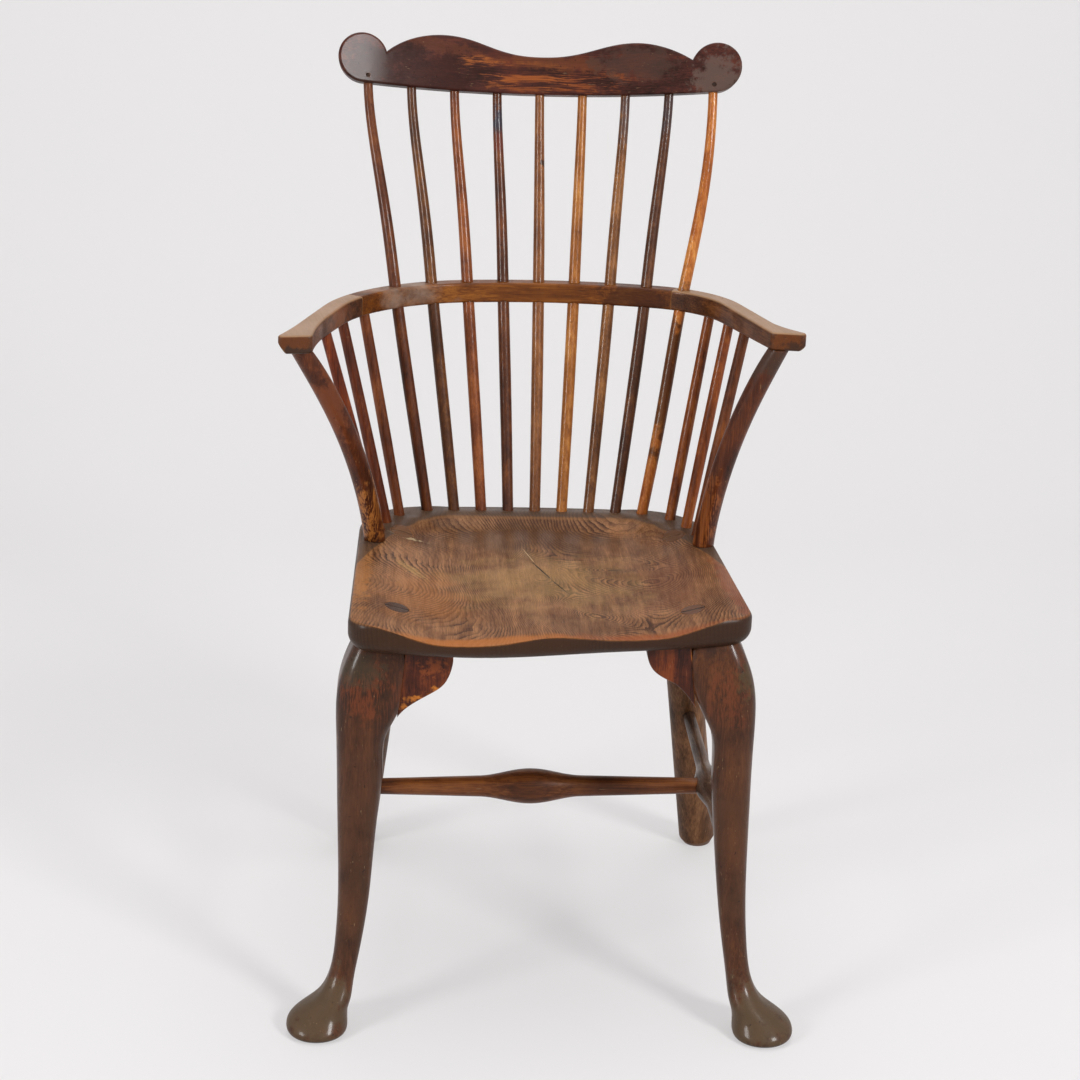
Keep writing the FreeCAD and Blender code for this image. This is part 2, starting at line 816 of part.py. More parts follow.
def back_rail():
    body = new_body("ArmBackRail")
    sketch = new_sketch(body, "XY_Plane")
    width = size("bow_width")
    outer_right, inner_right = [corner_arc(1, inset) for inset in (0, width)]
    outer_left, inner_left = [corner_arc(-1, inset) for inset in (0, width)]
    add_loop(sketch, [
        segment(inner_right[0], outer_right[0]),
        arc_through(*outer_right),
        arc_through(outer_right[2], flat(bow_point(1, 0, 0)), outer_left[2]),
        arc_through(*outer_left[::-1]),
        segment(outer_left[0], inner_left[0]),
        arc_through(*inner_left),
        arc_through(inner_left[2], flat(bow_point(1, 0, width)), inner_right[2]),
        arc_through(*inner_right[::-1]),
    ])
    rail = pad(body, sketch, bound("bow_height"))
    names = edges_where(rail.Shape, lambda e: e.BoundBox.ZLength < 0.01 and not at_joint(e))
    round_edges(body, rail, names, "bow_edge_round")
    body.Placement.Base = Vector(size("bow_shift"), 0, bow_bottom)
    doc.recompute()
    return body


def joint_tenon(name, side, grow):
    # the arm's end tenon in the rail, or the mortise for it when grow is the clearance
    length = size("joint_tenon_length") + grow
    wide = size("joint_tenon_width") + 2 * grow
    tall = size("joint_tenon_height") + 2 * grow
    root = 0 if grow else size("joint_tenon_root")
    box = doc.addObject("Part::Box", name)
    box.Length, box.Width, box.Height = length + root, wide, tall
    middle = bow_point(side, joint_turn(side), size("bow_width") / 2)
    along = Vector(-side * math.cos(joint_turn(side)), math.sin(joint_turn(side)), 0)
    turn = FreeCAD.Rotation(Vector(1, 0, 0), along)
    corner = turn.multVec(Vector(-root, -wide / 2, 0))
    level = size("bow_top") - size("bow_height") / 2 - tall / 2
    box.Placement = FreeCAD.Placement(on_side(middle, side, level) + corner, turn)
    return box


def arm_tip(side):
    outer = Vector(size("arm_tip_x") - side * size("arm_tip_x_skew"),
                   size("arm_tip_y") + side * size("arm_tip_y_skew"), 0)
    wide = size("arm_tip_width") + side * size("arm_tip_width_skew")
    return outer, outer + Vector(-wide, size("arm_tip_slant"), 0)


def flare(side, edge_end, tip, length):
    # where an edge of the straight arm starts to bend towards the tip, and the middle of that bend
    start = edge_end + forward * ((edge_end.y - tip.y - length) / math.cos(splay))
    off_line = (tip - start).dot(outward)
    return start, (start + tip) * 0.5 - outward * (0.2 * off_line)


def arm(label, side):
    body = new_body("Arm" + label.capitalize())
    sketch = new_sketch(body, "XY_Plane")
    width, height = size("bow_width"), size("bow_height")
    outer_tip, inner_tip = arm_tip(side)
    turns = (joint_turn(side), (joint_turn(side) + line_turn) / 2, line_turn)
    outer, inner = [[bow_point(side, turn, inset) for turn in turns] for inset in (0, width)]
    outer_start, outer_bend = flare(side, outer[2], outer_tip, size("arm_outer_flare_length"))
    inner_start, inner_bend = flare(side, inner[2], inner_tip, size("arm_inner_flare_length"))
    add_loop(sketch, [
        segment(flat(inner[0], side), flat(outer[0], side)),
        arc_through(flat(outer[0], side), flat(outer[1], side), flat(outer[2], side)),
        segment(flat(outer[2], side), flat(outer_start, side)),
        arc_through(flat(outer_start, side), flat(outer_bend, side), flat(outer_tip, side)),
        segment(flat(outer_tip, side), flat(inner_tip, side)),
        arc_through(flat(inner_tip, side), flat(inner_bend, side), flat(inner_start, side)),
        segment(flat(inner_start, side), flat(inner[2], side)),
        arc_through(flat(inner[2], side), flat(inner[1], side), flat(inner[0], side)),
    ])
    board = pad(body, sketch, bound("bow_height"))
    taper = new_sketch(body, "YZ_Plane")
    start_y, end_y = outer[2].y, outer_tip.y - 10
    lift = height - size("arm_tip_thickness")
    add_polygon(taper, [(start_y, 0), (end_y, lift), (end_y, -5), (start_y, -5)])
    board = pocket_through(body, taper)
    tips = (Vector(side * outer_tip.x, outer_tip.y, 0), Vector(side * inner_tip.x, inner_tip.y, 0))
    near_tip = lambda e: any((Vector(e.CenterOfMass.x, e.CenterOfMass.y, 0) - t).Length < 1 for t in tips)
    names = edges_where(board.Shape, lambda e: is_upright(e) and near_tip(e))
    board = round_edges(body, board, names, "arm_corner_round")
    lies = lambda e: not is_upright(e) and not at_joint(e) and e.Length > 0.5
    level = lambda e: abs(e.CenterOfMass.z - height) < 0.01 or e.CenterOfMass.z < lift + 0.5
    names = edges_where(board.Shape, lambda e: lies(e) and level(e) and not across_taper(e))
    round_edges(body, board, names, "bow_edge_round")
    bevel_tip(body, side, outer_tip)
    body.Placement.Base = Vector(size("bow_shift"), 0, bow_bottom)
    doc.recompute()
    return body


def bevel_tip(body, side, tip):
    # the hand's lower outer edge is cut away in a flat that runs out towards the back
    angle = splay - math.radians(size("arm_bevel_turn"))
    out = Vector(side * math.cos(angle), math.sin(angle), 0)
    up = Vector(0, 0, 1)
    turn = FreeCAD.Rotation(out, up, out.cross(up))
    bevel = new_sketch(body, "XY_Plane", FreeCAD.Placement(Vector(side * tip.x, tip.y, 0), turn))
    depth = size("arm_bevel_depth") + side * size("arm_bevel_skew")
    lip_z = size("bow_height") - size("arm_bevel_lip")
    drop = lip_z - (size("bow_height") - size("arm_tip_thickness"))
    add_polygon(bevel, [(depth, lip_z + drop), (-2 * depth, lip_z - 2 * drop), (depth, lip_z - 2 * drop)])
    pocket_through(body, bevel)


def across_taper(edge):
    # the edge where the level underside turns into the tapered one
    return abs(edge.BoundBox.YLength) < 0.01 and edge.CenterOfMass.z < 0.01


# Arm posts: bent rods from the seat's side to the arm's front.

def arm_underside(side, y):
    start = bow_point(side, line_turn, 0).y
    end = arm_tip(side)[0].y - 10
    share = max(0.0, min(1.0, (start - y) / (start - end)))
    return bow_bottom + share * (size("bow_height") - size("arm_tip_thickness"))


def post_line(side):
    base_y = size("post_base_y")
    base_x = seat_edge_x(side, base_y) - side * (size("post_inset") - side * size("post_inset_skew"))
    top = Vector(size("post_top_x") - side * size("post_top_x_skew"),
                 size("post_top_y") + side * size("post_top_y_skew"), 0)
    return Vector(base_x, base_y, size("seat_top")), on_side(top, side, arm_underside(side, top.y))


def post_place(side, share):
    # steep at the foot, leaning out more and more towards the arm
    foot, top = post_line(side)
    across = 0.33 * share + 0.67 * abs(share) ** 2.1
    return Vector(foot.x + (top.x - foot.x) * across, foot.y + (top.y - foot.y) * share,
                  foot.z + (top.z - foot.z) * share)


def post_direction(side, share):
    step = 0.01
    return (post_place(side, share + step) - post_place(side, share - step)).normalize()


def arm_post(label, side):
    name = "ArmPost" + label.capitalize()
    body = new_body(name)
    sketches = []
    for share in (0, 0.14, 0.34, 0.55, 0.78, 1):
        level = share in (0, 1)
        radius = size("post_radius") if share else size("post_foot_radius")
        direction = Vector(0, 0, 1) if level else post_direction(side, share)
        sketches.append(station(body, post_place(side, share), direction, radius))
    loft(body, sketches)
    foot, top = post_line(side)
    down = post_direction(side, 0) * -1
    up = post_direction(side, 0.99)
    overlap = 4
    foot_tenon = cylinder(name + "Foot", bound("post_tenon_radius"), size("post_tenon_length") + overlap,
                          foot - down * overlap, down)
    head_tenon = cylinder(name + "Head", bound("post_tenon_radius"), size("post_head_tenon_length") + overlap,
                          top - up * overlap, up)
    return fuse(name + "Whole", [body, foot_tenon, head_tenon]), foot, down, top, up


# Comb: a bent, leaning board sawn to a waved outline with two round ears.

lean = math.radians(size("comb_lean"))
comb_up = Vector(0, math.sin(lean), math.cos(lean))
comb_back = Vector(0, math.cos(lean), -math.sin(lean))
comb_turn = FreeCAD.Rotation(Vector(1, 0, 0), -size("comb_lean"))
comb_origin = Vector(size("comb_shift"), size("comb_y"), size("comb_bottom"))


def comb_place(x, height):
    bend = size("comb_bend_radius")
    forward_by = bend - math.sqrt(bend ** 2 - x ** 2)
    return comb_origin + Vector(x, 0, 0) - comb_back * forward_by + comb_up * height


def comb_edge(x):
    # the lower edge sags a little between the ears
    return -size("comb_bottom_sag") * (1 - (x / size("comb_ear_x")) ** 2)


def comb_board():
    body = new_body("Comb")
    sketch = new_sketch(body, "XY_Plane")
    bend, half = size("comb_bend_radius"), size("comb_thickness") / 2
    crest, middle, crest_x = size("comb_crest_height"), size("comb_middle_height"), size("comb_crest_x")
    ear, sag = size("comb_ear_radius"), size("comb_bottom_sag")
    reach = size("comb_ear_x") + size("comb_ear_skew") + ear + 5
    spread = math.asin(reach / bend)

    def at(turn, radius):
        return (radius * math.sin(turn), radius * math.cos(turn) - bend)

    add_loop(sketch, [
        arc_through(at(-spread, bend + half), at(0, bend + half), at(spread, bend + half)),
        segment(at(spread, bend + half), at(spread, bend - half)),
        arc_through(at(spread, bend - half), at(0, bend - half), at(-spread, bend - half)),
        segment(at(-spread, bend - half), at(-spread, bend + half)),
    ])
    pad(body, sketch, bound("comb_crest_height") + " + Sizes.comb_bottom_sag + 20")

    def ear_point(side, degrees):
        ear_x = size("comb_ear_x") - side * size("comb_ear_skew")
        angle = math.radians(degrees)
        return (side * (ear_x + ear * math.cos(angle)), ear + ear * math.sin(angle))

    def half_wave(side):
        top = crest - side * size("comb_crest_skew")
        rise = top - middle
        notch = ear_point(side, 162)
        return [
            notch,
            (notch[0] - 0.37 * (notch[0] - side * crest_x), top - 9),
            (side * crest_x, top),
            (side * 0.72 * crest_x, middle + 0.85 * rise),
            (side * 0.44 * crest_x, middle + 0.36 * rise),
            (side * 0.2 * crest_x, middle + 0.06 * rise),
        ]

    # heights in this sketch are measured from the lowest place of the lower edge
    wave = half_wave(1) + [(0, middle)] + half_wave(-1)[::-1]
    low_right, low_left = ear_point(1, -90), ear_point(-1, -90)
    raised = lambda points: [(x, z + sag) for x, z in points]
    outline = new_sketch(body, "XZ_Plane")
    add_loop(outline, [
        arc_through(*raised([low_left, (0, -sag), low_right])),
        arc_through(*raised([low_right, ear_point(1, 40), ear_point(1, 162)])),
        curve_through(raised(wave)),
        arc_through(*raised([ear_point(-1, 162), ear_point(-1, 40), low_left])),
    ])
    wide, tall = reach + 40, crest + 60
    add_polygon(outline, [(-wide, -40), (wide, -40), (wide, tall), (-wide, tall)])
    board = pocket_through(body, outline)
    round_edges(body, board, edges_where(board.Shape, lambda e: not crosses(e)), "comb_edge_round")
    body.Placement = FreeCAD.Placement(comb_origin - comb_up * sag, comb_turn)
    doc.recompute()
    return body


def crosses(edge):
    # a straight edge through the board's thickness
    return edge.Curve.TypeId == "Part::GeomLine"


# Spindles: rods through three places, which bend gently where the three are not in line.

def quadratic(first, second, third, share):
    # the curve that passes first at 0, second at share and third at 1
    def at(t):
        a = first * ((t - share) * (t - 1) / share)
        b = second * (t * (t - 1) / (share * (share - 1)))
        c = third * (t * (t - share) / (1 - share))
        return a + b + c
    return at


def long_spindle_places(number):
    # number runs from -4 at the left to 4 at the right
    seat_x = number * size("seat_row_pitch")
    seat = Vector(seat_x, size("seat_row_y") - size("seat_row_bend") * seat_x ** 2, size("seat_top"))
    comb_x = number * size("comb_row_pitch")
    return seat, bow_middle_at(number * size("rail_row_pitch")), comb_place(comb_x, comb_edge(comb_x))


def long_spindle(number, name):
    # the last one on the right bows outwards above the arm
    seat, rail, comb = long_spindle_places(number)
    bow = Vector(size("last_spindle_bow") if number == 4 else 0, 0, 0)
    share = (rail.z - seat.z) / (comb.z - seat.z)
    at = quadratic(seat, rail, comb, share)

    def direction(t):
        return (at(t + 0.01) - at(t - 0.01)).normalize()

    body = new_body(name)
    low, middle, high = size("spindle_seat_radius"), size("spindle_rail_radius"), size("spindle_comb_radius")
    stations = [
        (seat - direction(0) * size("spindle_seat_socket"), direction(0), low),
        (seat, direction(0), low),
        (at(share / 2), direction(share / 2), (low + middle) / 2 + 0.3),
        (rail, direction(share), middle),
        (at((1 + share) / 2) + bow, direction((1 + share) / 2), (middle + high) / 2 + 0.2),
        (comb, comb_up, high),
        (comb + comb_up * size("spindle_comb_socket"), comb_up, high),
    ]
    loft(body, [station(body, *entry, quartered=True) for entry in stations])
    return body, seat, direction(0), rail, direction(share), comb


short_row = [
    # from the outermost long spindle to the arm post: how far in from the seat's edge and at what y
    # the spindle stands, at what y it meets the arm, and how much further back it does so on the right
    (41.7, 429, 465.8, 12.3),
    (26.9, 401, 428.3, 14.8),
    (20.1, 369, 378.5, 19),
]


def short_spindle_places(side, number):
    inset, seat_y, arm_y, back_on_right = short_row[number - 1]
    seat_x = seat_edge_x(side, seat_y) - side * (inset - side * size("short_row_skew"))
    place = arm_middle_at(side, arm_y + side * back_on_right)
    return Vector(seat_x, seat_y, size("seat_top")), on_side(place, side, arm_underside(side, place.y))


def short_spindle(side, number, name):
    seat, top = short_spindle_places(side, number)
    direction = (top - seat).normalize()
    radius = size("short_spindle_radius")
    length = (top - seat).Length
    socket, head = size("spindle_seat_socket"), size("short_spindle_socket")
    profile = straight_profile([
        (radius, -socket),
        (radius, 0),
        (radius + 0.5, length * 0.4),
        (radius, length),
        (radius, length + head),
    ])
    return rod(name, profile, seat, direction), seat, direction, top


seat_tools = [cutter]
rail_tools = []
comb_tools = []
arm_tools = {"left": [], "right": []}

for index in range(9):
    number = index - 4
    name = "LongSpindle%d" % (index + 1)
    body, seat_at, seat_way, rail_at, rail_way, comb_at = long_spindle(number, name)
    seat_tools.append(mortise(name + "Seat", "spindle_seat_radius", seat_at, seat_way * -1,
                              size("spindle_seat_socket")))
    through = arm_tools["right"] if number == 4 else rail_tools
    through.append(mortise(name + "Rail", "spindle_rail_radius", rail_at, rail_way, 30))
    comb_tools.append(mortise(name + "Comb", "spindle_comb_radius", comb_at, comb_up,
                              size("spindle_comb_socket")))
    if abs(number) == 4:
        label = "left" if number < 0 else "right"
        peg_x = number * size("comb_row_pitch")
        start = comb_place(peg_x, comb_edge(peg_x) + size("peg_height"))
        start = start - comb_back * (size("comb_thickness") / 2)
        depth = size("comb_thickness") - 3
        hole = cylinder("PegHole" + label, bound("peg_radius"), depth + 10, start - comb_back * 10, comb_back)
        comb_tools.append(hole)
        keep("comb_peg_" + label, cylinder("Peg" + label, bound("peg_radius"), depth, start, comb_back))
        body = cut("LongSpindlePegged" + label, body, [hole])
    keep("long_spindle_%d" % (index + 1), body)

for label, side in sides:
    for number in (1, 2, 3):
        name = "ShortSpindle%s%d" % (label.capitalize(), number)
        body, seat_at, way, top = short_spindle(side, number, name)
        seat_tools.append(mortise(name + "Seat", "short_spindle_radius", seat_at, way * -1,
                                  size("spindle_seat_socket")))
        arm_tools[label].append(mortise(name + "Arm", "short_spindle_radius", top, way,
                                        size("short_spindle_socket")))
        keep("short_spindle_%s_%d" % (label, number), body)

    post, foot, down, top, up = arm_post(label, side)
    seat_tools.append(mortise("Post%sSeat" % label, "post_tenon_radius", foot, down,
                              size("post_tenon_length")))
    arm_tools[label].append(mortise("Post%sArm" % label, "post_tenon_radius", top, up,
                                    size("post_head_tenon_length")))
    arm_block = block("Post%sTop" % label, Vector(-far / 2, -far / 2, size("bow_top") - 1), (far, far, 50))
    keep("arm_post_" + label, cut("ArmPostCut" + label, post, [arm_block]))

    rail_tools.append(joint_tenon("RailMortise" + label, side, clearance))
    arm_whole = fuse("ArmWhole" + label, [arm(label, side), joint_tenon("ArmTenon" + label, side, 0)])
    keep("arm_" + label, cut("ArmCut" + label, arm_whole, arm_tools[label]))

keep("arm_back_rail", cut("RailCut", back_rail(), rail_tools))
keep("comb", cut("CombCut", comb_board(), comb_tools))

# Under the seat

for label, side in sides:
    front_end, rear_end = side_stretcher_line(side)
    meet = side_stretcher_at(side, size("cross_stretcher_y"))
    run = Vector(rear_end - front_end).normalize()
    side_body = stretcher("SideStretcher" + label, front_end, rear_end, (meet - front_end).Length,
                          "side")
    across = Vector(side, 0, 0)
    inner_face = meet - across * size("side_swelling_radius")
    cross_hole = mortise("CrossMortise" + label, "cross_stretcher_radius", inner_face, across,
                         size("stretcher_socket"))
    keep("side_stretcher_" + label, cut("SideStretcherCut" + label, side_body, [cross_hole]))

    leg, (tenon, kerf, wedge) = front_leg(label, side)
    front_hole = mortise("FrontMortise" + label, "side_stretcher_radius",
                         front_end + run * size("stretcher_socket"), run * -1, size("stretcher_socket"), 20)
    whole = fuse("FrontLegWhole" + label, [leg, tenon])
    keep("front_leg_" + label, cut("FrontLegCut" + label, whole, [front_hole, kerf, cutter]))
    keep("front_leg_wedge_" + label, cut("FrontWedgeCut" + label, wedge, [cutter]))
    under_seat = front_tenon_place(side, seat_bottom)
    seat_tools.append(tenon_hole("FrontLegHole" + label, under_seat, Vector(0, 0, 1)))

    shaft, (tenon, kerf, wedge) = rear_leg(label, side)
    rear_hole = mortise("RearMortise" + label, "side_stretcher_radius",
                        rear_end - run * size("stretcher_socket"), run, size("stretcher_socket"), 20)
    whole = fuse("RearLegWhole" + label, [shaft, tenon])
    keep("rear_leg_" + label, cut("RearLegCut" + label, whole, [rear_hole, kerf, cutter]))
    keep("rear_leg_wedge_" + label, cut("RearWedgeCut" + label, wedge, [cutter]))
    top, foot = rear_leg_axis(side)
    under_seat = rear_leg_place(side, seat_bottom)
    seat_tools.append(tenon_hole("RearLegHole" + label, under_seat, (top - foot).normalize()))

    keep("knee_bracket_" + label, knee_bracket(label, side))

short_of_middle = Vector(size("side_swelling_radius") - size("stretcher_socket"), 0, 0)
cross_left = side_stretcher_at(-1, size("cross_stretcher_y")) + short_of_middle
cross_right = side_stretcher_at(1, size("cross_stretcher_y")) - short_of_middle
cross_middle = (cross_right - cross_left).Length / 2
keep("cross_stretcher", stretcher("CrossStretcher", cross_left, cross_right,
                                  cross_middle - size("cross_swelling_offset"), "cross"))
keep("seat", cut("SeatCut", blank, seat_tools))

# The finished pieces stand with the origin at the middle of the chair's base.

doc.recompute()
around = FreeCAD.BoundBox()
for name, feature in sorted(pieces.items()):
    points, triangles = feature.Shape.tessellate(0.1)
    for point in points:
        around.add(point)
shift = Vector(-around.Center.x, -around.Center.y, 0)
print("moved by %.3f, %.3f mm" % (shift.x, shift.y))

for item in doc.Objects:
    if "Invalid" in item.State or "Error" in item.State:
        raise RuntimeError("%s did not compute" % item.Label)

os.makedirs("parts", exist_ok=True)
for name, feature in sorted(pieces.items()):
    feature.Placement = FreeCAD.Placement(shift, FreeCAD.Rotation()).multiply(feature.Placement)
doc.recompute()
for name, feature in sorted(pieces.items()):
    shape = feature.Shape
    if shape.isNull() or not shape.isValid() or shape.Volume <= 0:
        raise RuntimeError("%s has no valid solid" % name)
    if len(shape.Solids) != 1:
        raise RuntimeError("%s has %d solids" % (name, len(shape.Solids)))
    shape.exportStep("parts/%s.step" % name)
    print("%-26s %9.1f mm3" % (name, shape.Volume))
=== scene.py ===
import math

import bpy
from mathutils import Matrix, Vector


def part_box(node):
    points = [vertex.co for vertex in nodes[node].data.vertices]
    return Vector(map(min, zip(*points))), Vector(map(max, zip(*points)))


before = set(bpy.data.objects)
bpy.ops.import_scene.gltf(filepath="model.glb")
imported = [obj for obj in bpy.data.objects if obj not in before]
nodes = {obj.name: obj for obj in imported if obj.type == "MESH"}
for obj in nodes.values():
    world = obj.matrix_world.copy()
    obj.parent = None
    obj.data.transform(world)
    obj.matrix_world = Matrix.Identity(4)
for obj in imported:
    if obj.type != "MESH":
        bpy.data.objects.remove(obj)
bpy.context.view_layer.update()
scene = bpy.context.scene
bpy.ops.object.select_all(action="DESELECT")
print("frame loaded:", len(nodes), "nodes")


def linearColour(hexText):
    channels = [int(hexText[i:i + 2], 16) / 255 for i in (1, 3, 5)]
    return [c / 12.92 if c <= 0.04045 else ((c + 0.055) / 1.055) ** 2.4 for c in channels] + [1.0]


def addNode(tree, kind, settings=None):
    # settings are the node's own properties by name and its sockets by name or number;
    # a socket given as a value is linked, and so is a node, by its first output
    node = tree.nodes.new(kind)
    for key, value in (settings or {}).items():
        if isinstance(value, bpy.types.Node):
            tree.links.new(value.outputs[0], node.inputs[key])
        elif isinstance(value, bpy.types.NodeSocket):
            tree.links.new(value, node.inputs[key])
        elif isinstance(key, str) and hasattr(node, key):
            setattr(node, key, value)
        else:
            node.inputs[key].default_value = value
    return node


# settings that many nodes share
smooth = {"interpolation_type": "SMOOTHSTEP"}      # for a Map Range that eases at both ends
times = {"operation": "MULTIPLY"}
timesPlus = {"operation": "MULTIPLY_ADD"}
colours = {"data_type": "RGBA"}                    # for a Mix whose inputs 6 and 7 and output 2 are colours

# a mark of wear lies at a place and has radii in mm, a colour and an amount, and may have these
wearBasics = {
    "turn": (0, 0, 0),       # degrees
    "core": 0.55,            # share of the radii inside which the mark is full
    "ragged": 2.2,           # how far its grit, a size in mm, moves the rim
}


def placeWear(tree, coords, mark):
    # 1 inside a turned ellipsoid, fading out over its rim, and broken up by a grit noise
    mark = {**wearBasics, **mark}
    moved = addNode(tree, "ShaderNodeVectorMath", {
        "operation": "SUBTRACT", 0: coords, 1: [c / 1000 for c in mark["at"]]})
    turned = addNode(tree, "ShaderNodeVectorRotate", {
        "rotation_type": "EULER_XYZ", "invert": True, "Vector": moved,
        "Rotation": [math.radians(angle) for angle in mark["turn"]]})
    scaled = addNode(tree, "ShaderNodeVectorMath", {**times, 0: turned, 1: [1000 / r for r in mark["radii"]]})
    reach = addNode(tree, "ShaderNodeVectorMath", {"operation": "LENGTH", 0: scaled}).outputs[1]
    if "grit" in mark:
        grit = addNode(tree, "ShaderNodeTexNoise", {
            "Vector": coords, "Scale": 1000 / mark["grit"], "Detail": 4.0, "Roughness": 0.65})
        grit = addNode(tree, "ShaderNodeMath", {"operation": "SUBTRACT", 0: grit, 1: 0.5})
        reach = addNode(tree, "ShaderNodeMath", {**timesPlus, 0: grit, 1: mark["ragged"], 2: reach})
    return addNode(tree, "ShaderNodeMapRange", {
        **smooth, "Value": reach, "From Min": 1.0, "From Max": mark["core"], "To Max": mark["amount"]})


woodBasics = {
    "grainTurn": (0, 0, 0),      # degrees, from grain that runs along z
    "grainWidth": 1.6,           # mm across one streak
    "grainLength": 60.0,         # mm along one streak
    "broadStreaks": 0.16,        # broad streaks are this much of the fine ones' frequency
    "bendSize": 1.5,             # patches from one bend of the grain to the next
    "bendReach": 6.0,            # mm that the grain strays sideways
    "poreWidth": 0.7,            # mm, drawn a little coarser than real pores so that they show
    "poreLength": 18,            # times its width
    "poreDepth": 0.45,
    "patchSize": 70.0,           # mm, cloudy changes of tone
    "shares": (0.32, 0.3, 0.38),     # of fine streaks, broad streaks and patches in the tone
    "contrast": 0.11,            # how far from the middle the darkest and lightest tones lie
    "roughness": (0.36, 0.55),       # where it is smoothest and dullest
    "glossShares": (0.3, 0.7),       # of fine streaks and patches in the gloss
    "reliefShares": (0.55, -0.5),    # of fine streaks and pores in the relief
    "streakShares": (0.55, 0.45),    # of fine and broad streaks, where wear follows the grain
    "specular": 0.12,            # dirt in the polish dulls the mirror part
    "coat": 0.15,                # old wax and shellac
    "coatRoughness": 0.12,
    "ior": 1.5,                  # of wood polish and shellac
    "bump": 0.4,
    "bumpHeight": 0.6,           # mm
    "edgeWidth": 3.0,            # mm of softened, rubbed edge
    "edgeMatch": (0.985, 0.86),      # softened normal against the true one, where rubbing starts and is full
    "rubbed": 0.5,
    "rubbedPatch": 22.0,         # mm
    "scratches": 0.3,
    "scratchColour": "#a98a66",
    "scratchScale": (900.0, 900.0, 55.0),    # one in 1.1 mm across the grain and 18 mm along it
    "scratchPatch": 26.0,        # mm
    "dents": 0.6,
    "dentSize": 5.0,             # mm
}


